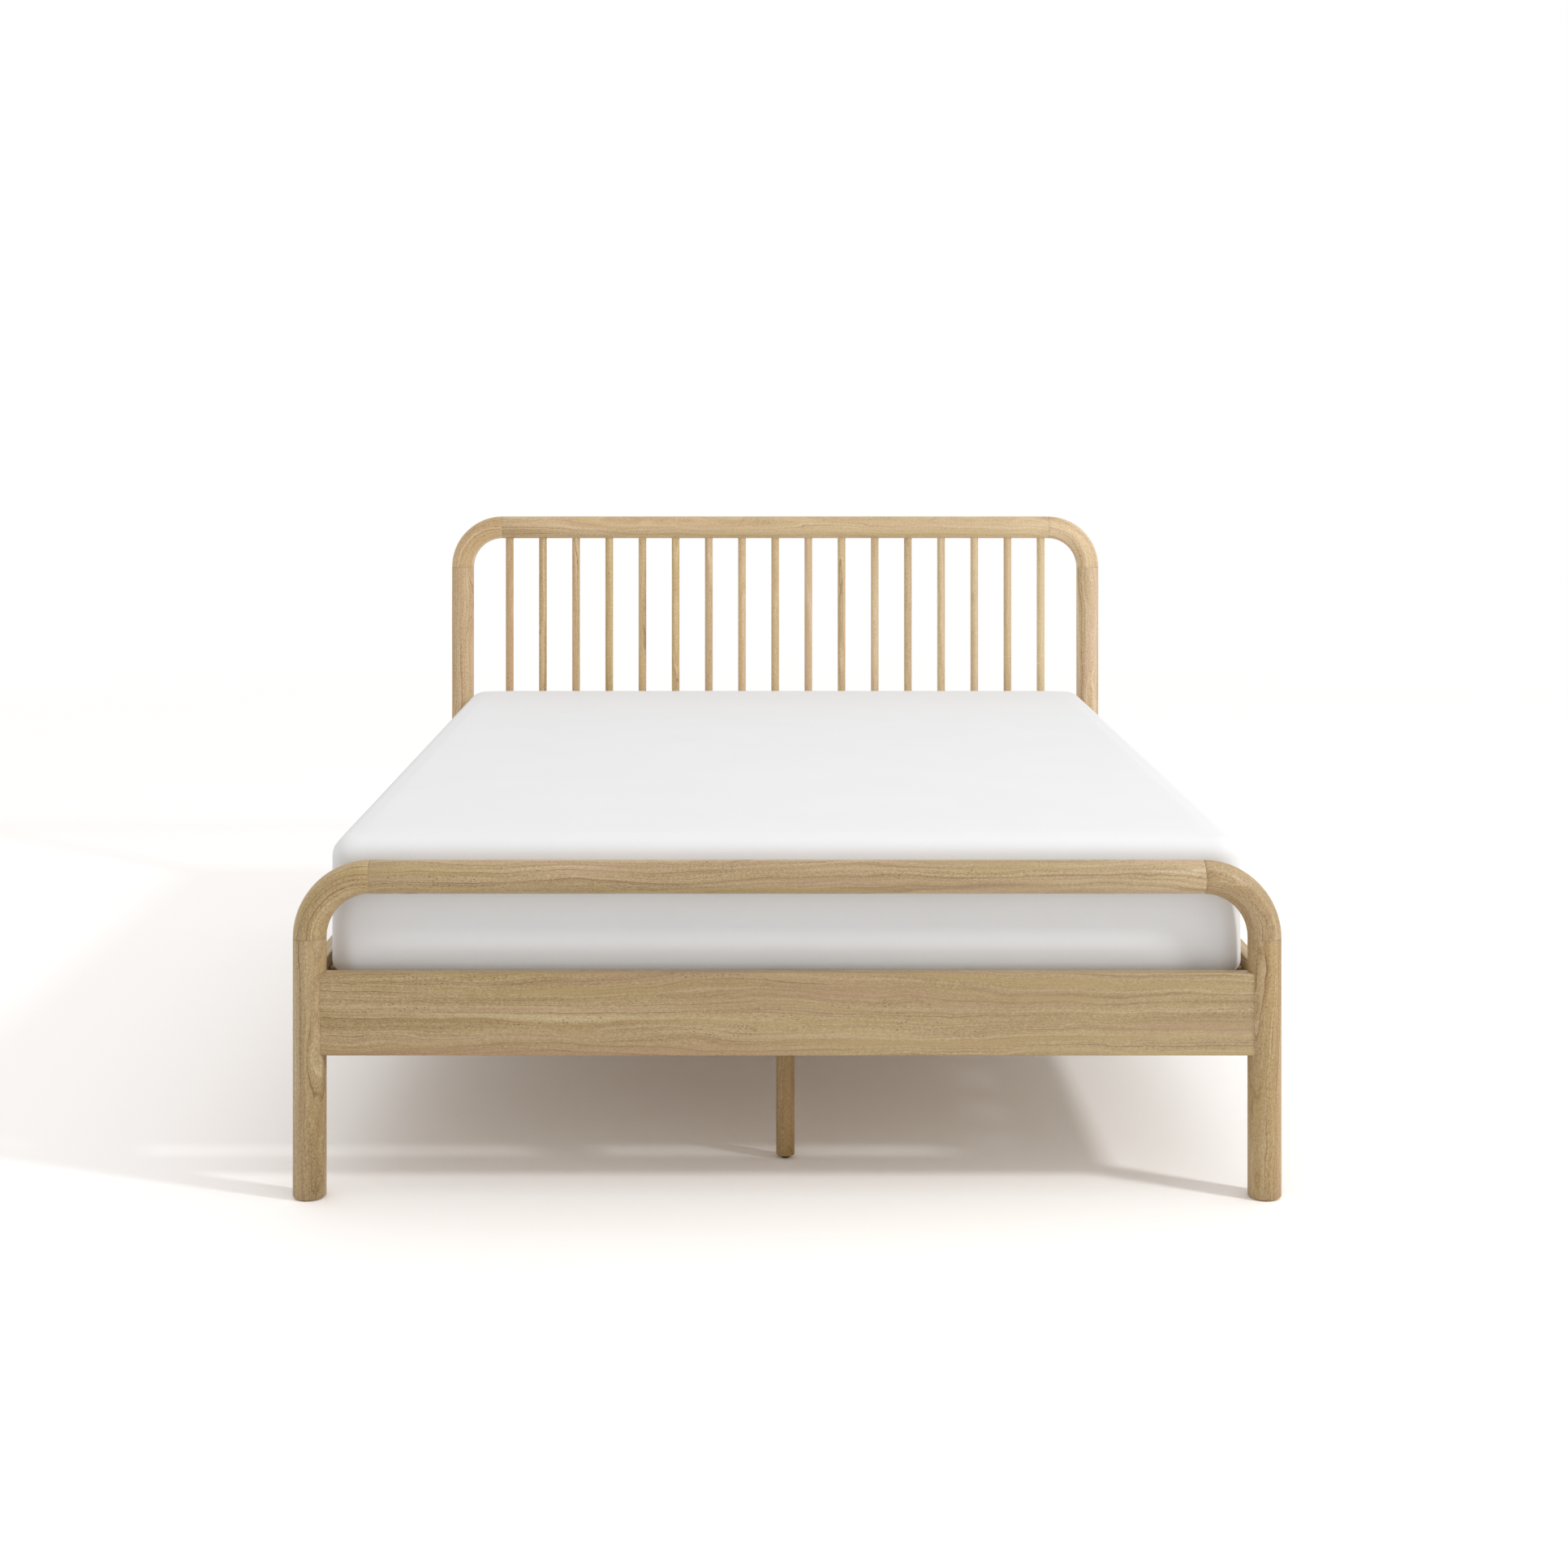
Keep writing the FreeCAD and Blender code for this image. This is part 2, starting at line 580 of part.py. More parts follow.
def make_centre_leg(name, step):
    """A round leg under the beam. Its own origin is on the floor."""
    body = new_body(f"centre_leg_{name}", y=f"{step} * Dims.leg_spacing")
    section = new_sketch(body, "XY", off="Dims.pad_height")
    draw_circle(section, "Dims.leg_dia")
    pad(body, section, f"{LEG_TOP_Z} - Dims.pad_height")
    upper = new_sketch(body, "XY", off=LEG_TOP_Z)
    draw_bore(upper, "Dims.stud_bolt_dia")
    cut(body, upper, AGAINST, "Dims.stud_bolt_bite + Dims.stud_end_room")
    lower = new_sketch(body, "XY", off="Dims.pad_height")
    draw_bore(lower, "Dims.pad_stud_dia")
    cut(body, lower, ALONG, "Dims.pad_stud_length + Dims.stud_end_room")
    return body


def make_leveller(name, step):
    """A levelling foot: a pad, drawn in below, on a stud that screws up into the leg."""
    body = new_body(f"leveller_{name}", y=f"{step} * Dims.leg_spacing")
    section = new_sketch(body, "XY")
    draw_flats(section, "Dims.pad_top_dia", PAD_FLATS)
    pad(body, section, "Dims.pad_height")
    drawn_in = "(Dims.pad_top_dia - Dims.pad_bottom_dia) / 2"
    ease_edges(body, lambda edge: edge.BoundBox.ZMax < 0.01, drawn_in)
    stud = new_sketch(body, "XY", off="Dims.pad_height")
    draw_shank(stud, "Dims.pad_stud_dia")
    pad(body, stud, "Dims.pad_stud_length")
    return body


# ---- hardware ---------------------------------------------------------------------------


def make_bracket():
    """A corner bracket: two flanges joined by a slanted web that clears the round post.
    Its own origin is the corner between the rails, at the middle of its height."""
    body = new_body("bracket_pattern", kept=False)
    outline = new_sketch(body, "XY")
    reach = "Dims.bracket_web + Dims.bracket_flange"
    thick = "Dims.bracket_thick"
    inner = "Dims.bracket_web + Dims.bracket_thick * (sqrt(2) - 1)"
    corners = [
        (None, reach),
        (None, "Dims.bracket_web"),
        ("Dims.bracket_web", None),
        (reach, None),
        (reach, thick),
        (inner, thick),
        (thick, inner),
        (thick, reach),
    ]
    draw_polygon(outline, corners)
    pad(body, outline, "Dims.bracket_height", both_ways=True)
    for plane, way in (("XZ", AGAINST), ("YZ", ALONG)):
        hole = new_sketch(body, plane, x=BOLT_INSET)
        draw_bore(hole, "Dims.bolt_dia")
        cut(body, hole, way, "2 * Dims.bracket_thick")
    return body


def make_bolt():
    """A hexagon-head bolt along +Z, from the underside of its head at the origin."""
    body = new_body("bolt_pattern", kept=False)
    head = new_sketch(body, "XY")
    draw_flats(head, "Dims.bolt_head_flats", 6)
    pad(body, head, "Dims.bolt_head_height")
    shank = new_sketch(body, "XY")
    draw_shank(shank, "Dims.bolt_dia")
    pad(body, shank, "Dims.bolt_length", AGAINST)
    return body


def make_hanger():
    """A beam hanger: an open-topped pocket on a plate with an ear at each side.
    Its own origin is on the end rail's face, at the underside of the beam."""
    body = new_body("hanger_pattern", kept=False)
    thick = "Dims.hanger_thick"
    inside = "(Dims.beam_width + Dims.hanger_play)"
    open_height = "(Dims.hanger_height + Dims.hanger_play)"  # past the rim, so it cuts through
    tall = "(Dims.hanger_height + Dims.hanger_thick)"
    plate = new_sketch(body, "XZ", y=f"{tall} / 2 - {thick}")
    draw_rectangle(plate, f"{inside} + 2 * {thick} + 2 * Dims.hanger_ear", tall)
    pad(body, plate, thick, AGAINST)
    block = new_sketch(body, "XZ", y=f"{tall} / 2 - {thick}")
    draw_rectangle(block, f"{inside} + 2 * {thick}", tall)
    pad(body, block, f"Dims.hanger_depth + {thick}", AGAINST)
    pocket = new_sketch(body, "XZ", y=f"{open_height} / 2", off=f"-{thick}")
    draw_rectangle(pocket, inside, open_height)
    cut(body, pocket, AGAINST)
    ear_x = f"({inside} / 2 + {thick} + Dims.hanger_ear / 2)"
    hole = new_sketch(body, "XZ", ear_x, f"{tall} / 2 - {thick}")
    draw_bore(hole, "Dims.hanger_hole")
    mirror(body, cut(body, hole, AGAINST), "YZ", must_cut=True)
    return body


def make_group(label, shapes):
    """Identical pieces that share one node, as separate solids."""
    group = doc.addObject("Part::Feature", label)
    group.Label = label
    group.Shape = Part.makeCompound(shapes)
    nodes.append(group)
    return group


def moved(shape, x=0, y=0, z=0, rotation=Rotation()):
    copy = shape.copy()
    copy.Placement = Placement(Vector(x, y, z), rotation).multiply(shape.Placement)
    return copy


def in_corners(shape):
    """Copies of a shape in the bed's four inside corners. The shape's own origin is the corner
    between two rails, and it points along +X and +Y, as it stands at the left of the foot."""
    copies = []
    for side in (-1, 1):
        for end in (-1, 1):
            copy = shape.copy()
            if side > 0:
                copy = copy.mirror(Vector(0, 0, 0), X_AXIS)
            if end > 0:
                copy = copy.mirror(Vector(0, 0, 0), Y_AXIS)
            x, y = side * value_of(SIDE_FACE_X), value_of(end_face_y(end))
            copies.append(moved(copy, x, y, value_of(BRACKET_Z)))
    return copies


def make_brackets_and_bolts():
    """The four corner brackets, and the two bolts of each."""
    make_group("corner_brackets", in_corners(make_bracket().Shape))
    bolt = make_bolt().Shape
    inset, thick = value_of(BOLT_INSET), size("bracket_thick")
    end_bolt = moved(bolt, inset, thick, 0, Rotation(X_AXIS, -90))
    side_bolt = moved(bolt, thick, inset, 0, Rotation(Y_AXIS, 90))
    make_group("bracket_bolts", in_corners(end_bolt) + in_corners(side_bolt))


def make_hangers():
    """The two beam hangers, one on each end rail."""
    foot_hanger = make_hanger().Shape
    head_hanger = foot_hanger.mirror(Vector(0, 0, 0), Y_AXIS)
    level = value_of(LEG_TOP_Z)
    pair = [moved(foot_hanger, 0, value_of(end_face_y(-1)), level)]
    pair.append(moved(head_hanger, 0, value_of(end_face_y(1)), level))
    make_group("beam_hangers", pair)


def make_stud_bolts():
    """The hanger bolts that hold the centre legs to the beam."""
    body = new_body("stud_pattern", z=LEG_TOP_Z, kept=False)
    section = new_sketch(body, "XY")
    draw_shank(section, "Dims.stud_bolt_dia")
    pad(body, section, "2 * Dims.stud_bolt_bite", both_ways=True)
    spacing = size("leg_spacing")
    make_group("leg_hanger_bolts", [moved(body.Shape, y=step * spacing) for _, step in LEG_PLACES])


def make_glides():
    """The glued-on glides under the four posts."""
    disc = Part.makeCylinder(size("glide_dia") / 2, size("glide_height"))
    x, y = value_of(POST_X), value_of(POST_Y)
    make_group("post_glides", [moved(disc, i * x, j * y) for i in (-1, 1) for j in (-1, 1)])


# ---- mattress ---------------------------------------------------------------------------


def make_mattress():
    """The mattress: sides that swell at mid height, round edges all round and a low crown.
    Its own origin is the middle of its fullest outline."""
    half = "(Dims.mattress_height - Dims.mattress_crown) / 2"
    body = new_body("mattress", y="Dims.mattress_shift", z=f"{SLAT_TOP_Z} + {half}")
    for way, edge in ((ALONG, "Dims.mattress_top_edge"), (AGAINST, "Dims.mattress_low_edge")):
        levels = mattress_levels(half, edge)
        for (rise, inset), (next_rise, next_inset) in zip(levels, levels[1:]):
            outline = mattress_outline(body, f"{way} * {rise}", inset)
            pad(body, outline, f"{next_rise} - {rise}", way, inset=f"{next_inset} - {inset}")
    top = mattress_outline(body, half, "(Dims.mattress_tuck + Dims.mattress_top_edge)")
    pad(body, top, "Dims.mattress_crown")
    cut_crown(body, "XZ", "Dims.mattress_width", "Dims.mattress_length / 2", AGAINST)
    cut_crown(body, "YZ", "Dims.mattress_length", "-Dims.mattress_width / 2", ALONG)
    return body


def mattress_levels(half, edge):
    """Levels from the fullest outline out to the flat, each with how far it is drawn in."""
    levels = [("0", "0"), (f"({half} - {edge})", "Dims.mattress_tuck")]
    for step in range(1, EDGE_STEPS + 1):
        turn = 90 * step / EDGE_STEPS
        rise = f"({half} - {1 - sin(turn):.6f} * {edge})"
        levels.append((rise, f"(Dims.mattress_tuck + {1 - cos(turn):.6f} * {edge})"))
    return levels


def mattress_outline(body, level, inset):
    """A level outline of the mattress, drawn in from the fullest one."""
    outline = new_sketch(body, "XY", off=level)
    width = f"Dims.mattress_width - 2 * {inset}"
    length = f"Dims.mattress_length - 2 * {inset}"
    draw_round_rectangle(outline, width, length, f"Dims.mattress_corner - {inset}")
    return outline


def cut_crown(body, plane, span, off, way):
    """Takes off what lies above one low arc over the whole span."""
    sketch = new_sketch(body, plane, y="(Dims.mattress_height - Dims.mattress_crown) / 2", off=off)
    half, rise = f"{span} / 2", "Dims.mattress_crown"
    above = f"2 * {rise}"
    radius = f"(({half}) ^ 2 + {rise} ^ 2) / (2 * {rise})"
    left, right = Vector(-value_of(half), 0, 0), Vector(value_of(half), 0, 0)
    arc = sketch.addGeometry(Part.Arc(right, Vector(0, value_of(rise), 0), left))
    corners = [(f"-({half})", above), (half, above)]
    points = [left] + [Vector(value_of(x), value_of(y), 0) for x, y in corners] + [right]
    for i in range(3):
        sketch.addGeometry(Part.LineSegment(points[i], points[i + 1]))
    for first, second in ((0, 1), (1, 2), (2, 3), (3, 0)):
        sketch.addConstraint(Sketcher.Constraint("Coincident", first, 2, second, 1))
    for line, (x, y) in zip((2, 3), corners):
        place_point(sketch, line, 1, x, y)
    place_point(sketch, arc, 1, half, None)
    place_point(sketch, arc, 2, f"-({half})", None)
    bind(sketch, Sketcher.Constraint("Radius", arc, value_of(radius)), radius)
    cut(body, sketch, way)


# ---- the whole bed ----------------------------------------------------------------------


def build():
    for end_name, end, axis_z in (("head", 1, HEAD_AXIS_Z), ("foot", -1, FOOT_AXIS_Z)):
        for side_name, side in (("left", -1), ("right", 1)):
            make_post(f"{end_name}_post_{side_name}", side, end, axis_z)
        make_bends(f"{end_name}_bends", end, axis_z)
        make_top_rail(f"{end_name}_top_rail", end, axis_z, with_sockets=end > 0)
        make_end_rail(f"{end_name}_rail", end, with_sockets=end > 0)
    for number in range(1, int(size("spindle_count")) + 1):
        make_spindle(number)
    for side_name, side in (("left", -1), ("right", 1)):
        make_side_rail(f"side_rail_{side_name}", side)
        make_ledger(f"slat_ledger_{side_name}", side)
    for number in range(1, int(size("slat_count")) + 1):
        make_slat(number)
    make_beam()
    for name, step in LEG_PLACES:
        make_centre_leg(name, step)
        make_leveller(name, step)
    make_brackets_and_bolts()
    make_hangers()
    make_stud_bolts()
    make_glides()
    make_mattress()
    doc.recompute()


def check():
    """Stops before anything is written if any object failed or any solid is unsound."""
    for thing in doc.Objects:
        if {"Invalid", "Error"} & set(thing.State):
            raise ValueError(f"{thing.Label} failed: {thing.State}")
    for node in nodes:
        shape = node.Shape
        if shape.isNull() or not shape.isValid() or not shape.Solids:
            raise ValueError(f"{node.Label} has no sound solid")


def write():
    os.makedirs("parts", exist_ok=True)
    for node in nodes:
        node.Shape.exportStep(os.path.join("parts", f"{node.Label}.step"))
    solids = sum(len(node.Shape.Solids) for node in nodes)
    print(f"{len(nodes)} nodes, {solids} solids")


build()
check()
write()
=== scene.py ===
import math
import random

import bmesh
import bpy
from mathutils import Matrix, Vector


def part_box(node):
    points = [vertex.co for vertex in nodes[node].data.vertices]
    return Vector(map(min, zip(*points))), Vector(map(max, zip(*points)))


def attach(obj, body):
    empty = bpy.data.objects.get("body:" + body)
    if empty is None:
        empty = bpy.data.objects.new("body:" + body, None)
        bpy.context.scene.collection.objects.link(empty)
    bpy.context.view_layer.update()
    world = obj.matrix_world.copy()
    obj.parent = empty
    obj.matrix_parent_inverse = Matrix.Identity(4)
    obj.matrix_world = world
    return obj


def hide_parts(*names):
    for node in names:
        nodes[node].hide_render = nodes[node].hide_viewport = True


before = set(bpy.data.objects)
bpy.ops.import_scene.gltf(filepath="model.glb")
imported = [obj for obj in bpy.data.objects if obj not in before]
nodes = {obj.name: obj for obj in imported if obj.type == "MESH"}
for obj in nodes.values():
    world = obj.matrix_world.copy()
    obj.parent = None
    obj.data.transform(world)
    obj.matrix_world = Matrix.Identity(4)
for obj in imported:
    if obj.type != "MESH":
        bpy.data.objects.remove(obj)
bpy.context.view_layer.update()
print("frame loaded:", len(nodes), "nodes")


def screen(r, g, b):
    # a colour as it looks on screen, 0 to 255, turned into Blender's linear one
    def linear(c):
        c = c / 255
        return c / 12.92 if c <= 0.04045 else ((c + 0.055) / 1.055) ** 2.4
    return (linear(r), linear(g), linear(b), 1.0)


def wire(tree, source, target):
    # joins two sockets, or sets a plain value on the target
    if isinstance(source, bpy.types.NodeSocket):
        tree.links.new(source, target)
    else:
        target.default_value = source


def addNode(tree, kind, inputs=None, **settings):
    node = tree.nodes.new(kind)
    for name, value in settings.items():
        setattr(node, name, value)
    for key, value in (inputs or {}).items():
        wire(tree, value, node.inputs[key])
    return node


def calc(tree, operation, a, b=None, c=None, clamp=False):
    node = addNode(tree, "ShaderNodeMath", operation=operation, use_clamp=clamp)
    for i, value in enumerate((a, b, c)):
        if value is not None:
            wire(tree, value, node.inputs[i])
    return node.outputs[0]


def calcVector(tree, operation, a, b=None):
    node = addNode(tree, "ShaderNodeVectorMath", operation=operation)
    wire(tree, a, node.inputs[0])
    if b is not None:
        wire(tree, b, node.inputs[1])
    return node.outputs["Value" if operation in ("LENGTH", "DOT_PRODUCT") else "Vector"]


def ramp(tree, value, low, high, outLow=0.0, outHigh=1.0, smooth=True):
    node = addNode(tree, "ShaderNodeMapRange", clamp=True)
    node.interpolation_type = "SMOOTHSTEP" if smooth else "LINEAR"
    for key, number in (("Value", value), ("From Min", low), ("From Max", high),
                        ("To Min", outLow), ("To Max", outHigh)):
        wire(tree, number, node.inputs[key])
    return node.outputs[0]


def noise(tree, point, stretch, detail=2.0, rough=0.5, wanted="Fac"):
    # stretch is how many cells there are to a metre along x, y and z
    scaled = calcVector(tree, "MULTIPLY", point, stretch)
    node = addNode(tree, "ShaderNodeTexNoise", {"Vector": scaled, "Scale": 1.0,
                                                "Detail": detail, "Roughness": rough})
    return node.outputs[wanted]


def blendColour(tree, factor, a, b, kind="MIX"):
    node = addNode(tree, "ShaderNodeMix", data_type="RGBA", blend_type=kind)
    for key, value in ((0, factor), (6, a), (7, b)):
        wire(tree, value, node.inputs[key])
    return node.outputs[2]


def newMaterial(name):
    material = bpy.data.materials.new(name)
    material.use_nodes = True
    tree = material.node_tree
    tree.nodes.clear()
    shader = tree.nodes.new("ShaderNodeBsdfPrincipled")
    out = tree.nodes.new("ShaderNodeOutputMaterial")
    tree.links.new(shader.outputs[0], out.inputs["Surface"])
    return material, tree, shader


def finishShader(tree, shader, colour, rough, height, strength, depth):
    tree.links.new(colour, shader.inputs["Base Color"])
    tree.links.new(rough, shader.inputs["Roughness"])
    bump = addNode(tree, "ShaderNodeBump", {"Height": height, "Strength": strength,
                                            "Distance": depth})
    tree.links.new(bump.outputs[0], shader.inputs["Normal"])


def addObject(name, data):
    obj = bpy.data.objects.new(name, data)
    bpy.context.collection.objects.link(obj)
    return obj


def dress(obj, material):
    obj.data.materials.clear()
    obj.data.materials.append(material)


honeyWood = {
    "light": screen(211, 190, 152),
    "middle": screen(178, 151, 107),
    "dark": screen(132, 102, 58),
    "pink": screen(186, 151, 120),
    "honey": screen(180, 156, 98),
    "speck": screen(78, 54, 32),
    # pale colour of the painted highlight that paler mixes in towards the bed's right side
    "paintedHighlightColour": screen(247, 229, 191),
    "shade": 0.52,                    # from dark at 0 to light at 1
    "ringWidth": 0.015,               # one year's growth, metres
    # cells, here and below, are counted to a metre along x, y and z
    # cells of the noise that bends the rings, and how far it bends them, metres
    "bends": (((0.9, 4, 4), 0.055), ((6, 22, 22), 0.013), ((30, 110, 110), 0.00208)),
    "lateWood": (0.35, 0.97, 0.20),   # where in a year the wood darkens, and how much
    "yearLine": (0.915, 0.965, 0.97),  # where a year's dark line begins, is full and ends
    "yearPower": 1.3,                 # most years leave a weak line
    "weakestLine": 0.1,
    # cells, the noise values between which a patch comes in, and its strength
    "faintPatch": ((3.4, 40, 40), 0.40, 0.58, 0.15),
    "pinkPatch": ((1.2, 20, 20), 0.48, 0.70, 0.45),
    "honeyPatch": ((1.1, 70, 1), 0.52, 0.34, 0.5),
    # what the streaks follow, cells, octaves and strength
    "streaks": (("point", (0.9, 13, 13), 2, 0.90), ("rings", (0.8, 60, 1), 2, 0.75),
                ("rings", (1.6, 240, 1), 2, 0.75), ("rings", (7, 800, 1), 1, 0.60),
                ("point", (260, 560, 560), 1, 1.00)),
    "fibreCells": (40, 620, 620),
    "poreCells": (150, 340, 340),
    "poreEdge": (0.14, 0.36),         # core and rim of a pore, in cells
    "poreShare": (0.66, 0.70),        # cells below this hold no pore
    "poreCluster": ((4, 34, 34), 0.56, 0.62),
    "poreStrength": 0.85,
    "roughness": (0.42, 0.16),        # plain, and what the fibres add
    "ringHeight": -0.35,
    "poreHeight": -1.2,
    "bumpStrength": 0.5,
    "bumpDepth": 0.00022,
    "coat": 0.08,
    "coatRoughness": 0.35,
    "startRange": (2, 40),            # where along the tree a piece may be cut from, metres
    "paintedHighlightHalf": 0.8,                # the painted highlight grows from -X to +X over the bed, towards the lamp
    # every spindle has its own colour, from amber to greyish pink
    "amber": (1.00, 0.99, 0.86, 1),
    "greyPink": (1.00, 0.97, 1.06, 1),
    "lotWeights": (1, 7, 13),
}


def makeGrainGroup():
    # x runs along the grain, and the tree's pith is the line y = z = 0
    w = honeyWood
    group = bpy.data.node_groups.new("honeyGrain", "ShaderNodeTree")
    face = group.interface
    for name, way, kind in (("Point", "INPUT", "Vector"), ("Tone", "INPUT", "Float"),
                            ("Specks", "INPUT", "Float"), ("Colour", "OUTPUT", "Color"),
                            ("Roughness", "OUTPUT", "Float"), ("Height", "OUTPUT", "Float")):
        face.new_socket(name, in_out=way, socket_type="NodeSocket" + kind)
    enter = group.nodes.new("NodeGroupInput")
    leave = group.nodes.new("NodeGroupOutput")
    point = enter.outputs["Point"]

    # the growth rings
    bent = point
    for cells, reach in w["bends"]:
        drift = noise(group, point, cells, 1, wanted="Color")
        centred = calcVector(group, "SUBTRACT", drift, (0.5,) * 3)
        bent = calcVector(group, "ADD", bent, calcVector(group, "MULTIPLY", centred,
                                                         (0, reach * 2, reach * 2)))
    across = calcVector(group, "LENGTH", calcVector(group, "MULTIPLY", bent, (0, 1, 1)))
    rings = calc(group, "DIVIDE", across, w["ringWidth"])
    phase = calc(group, "FRACT", rings)
    year = addNode(group, "ShaderNodeTexWhiteNoise", {"W": calc(group, "FLOOR", rings)},
                   noise_dimensions="1D").outputs["Value"]
    lateFrom, lateTo, lateDepth = w["lateWood"]
    late = ramp(group, phase, lateFrom, lateTo, 0.0, lateDepth)
    lineFrom, lineFull, lineEnd = w["yearLine"]
    line = calc(group, "MULTIPLY", ramp(group, phase, lineFrom, lineFull),
                ramp(group, phase, lineEnd, 1.0, 1.0, 0.0))
    strength = calc(group, "MULTIPLY_ADD", calc(group, "POWER", year, w["yearPower"]),
                    1 - w["weakestLine"], w["weakestLine"])
    cells, low, high, least = w["faintPatch"]
    faded = ramp(group, noise(group, point, cells, 1), low, high, least, 1.0)
    ringLine = calc(group, "MULTIPLY", calc(group, "ADD", late, line),
                    calc(group, "MULTIPLY", strength, faded))

    # bands and streaks, each finer than the one before
    lengthwise = addNode(group, "ShaderNodeSeparateXYZ", {"Vector": point}).outputs["X"]
    follow = addNode(group, "ShaderNodeCombineXYZ", {0: lengthwise, 1: across, 2: 0.0}).outputs[0]
    value = w["shade"]
    for kind, cells, octaves, amount in w["streaks"]:
        layer = noise(group, point if kind == "point" else follow, cells, octaves, 0.55)
        value = calc(group, "MULTIPLY_ADD", calc(group, "SUBTRACT", layer, 0.5), amount, value)
    fibre = noise(group, point, w["fibreCells"], 2, 0.55)
    value = calc(group, "MULTIPLY_ADD", ringLine, -1.0, value)
    value = calc(group, "ADD", value, enter.outputs["Tone"], clamp=True)

    shades = addNode(group, "ShaderNodeValToRGB", {"Fac": value})
    stops = shades.color_ramp.elements
    stops[0].position, stops[0].color = 0.0, w["dark"]
    stops[1].position, stops[1].color = 1.0, w["light"]
    stops.new(0.50).color = w["middle"]
    cells, low, high, most = w["pinkPatch"]
    pinkness = ramp(group, noise(group, point, cells, 2, 0.6), low, high, 0.0, most)
    colour = blendColour(group, pinkness, shades.outputs["Color"], w["pink"])
    cells, low, high, most = w["honeyPatch"]
    honeyed = ramp(group, noise(group, follow, cells, 2, 0.6), low, high, 0.0, most)
    colour = blendColour(group, honeyed, colour, w["honey"])

    # short dark pores that come in clusters
    pores = addNode(group, "ShaderNodeTexVoronoi", {
        "Vector": calcVector(group, "MULTIPLY", point, w["poreCells"]), "Scale": 1.0})
    dot = ramp(group, pores.outputs["Distance"], *w["poreEdge"], 1.0, 0.0)
    chance = addNode(group, "ShaderNodeSeparateColor", {"Color": pores.outputs["Color"]})
    rare = ramp(group, chance.outputs[0], *w["poreShare"])
    cells, low, high = w["poreCluster"]
    cluster = ramp(group, noise(group, point, cells, 2), low, high)
    specks = calc(group, "MULTIPLY", calc(group, "MULTIPLY", dot, rare), cluster)
    specks = calc(group, "MULTIPLY", specks, enter.outputs["Specks"], clamp=True)
    colour = blendColour(group, calc(group, "MULTIPLY", specks, w["poreStrength"]), colour,
                         w["speck"])

    plain, added = w["roughness"]
    rough = calc(group, "MULTIPLY_ADD", fibre, added, plain)
    height = calc(group, "MULTIPLY_ADD", ringLine, w["ringHeight"], fibre)
    height = calc(group, "MULTIPLY_ADD", specks, w["poreHeight"], height)
    group.links.new(colour, leave.inputs["Colour"])
    group.links.new(rough, leave.inputs["Roughness"])
    group.links.new(height, leave.inputs["Height"])
    return group


grainGroup = makeGrainGroup()


def grainTurn(along):
    # the turn that brings a piece's long axis onto the pattern's x axis
    return {"x": (0, 0, 0), "y": (0, 0, -math.pi / 2), "z": (0, math.pi / 2, 0)}[along]


def roundTheBend(tree, where, offset, middle, radius):
    # a point's place along a bent piece, and its places inward and sideways in it
    moved = addNode(tree, "ShaderNodeMapping")
    wire(tree, where, moved.inputs["Vector"])
    moved.inputs["Location"].default_value = -Vector(middle)
    x, y, z = addNode(tree, "ShaderNodeSeparateXYZ", {"Vector": moved.outputs[0]}).outputs
    swing = calc(tree, "ARCTAN2", z, calc(tree, "ABSOLUTE", x))
    out = calc(tree, "SQRT", calc(tree, "ADD", calc(tree, "MULTIPLY", x, x),
                                  calc(tree, "MULTIPLY", z, z)))
    lengthwise = calc(tree, "MULTIPLY_ADD", swing, radius, offset.x)
    inward = calc(tree, "ADD", calc(tree, "SUBTRACT", out, radius), offset.y)
    sideways = calc(tree, "ADD", y, offset.z)
    return addNode(tree, "ShaderNodeCombineXYZ",
                   {0: lengthwise, 1: inward, 2: sideways}).outputs[0]


def alongThePiece(tree, where, offset, centre, along):
    turned = addNode(tree, "ShaderNodeMapping")
    wire(tree, where, turned.inputs["Vector"])
    rotation = grainTurn(along)
    spin = Matrix.Rotation(rotation[1], 3, "Y") @ Matrix.Rotation(rotation[2], 3, "Z")
    turned.inputs["Rotation"].default_value = rotation
    turned.inputs["Location"].default_value = offset - spin @ Vector(centre)
    return turned.outputs[0]


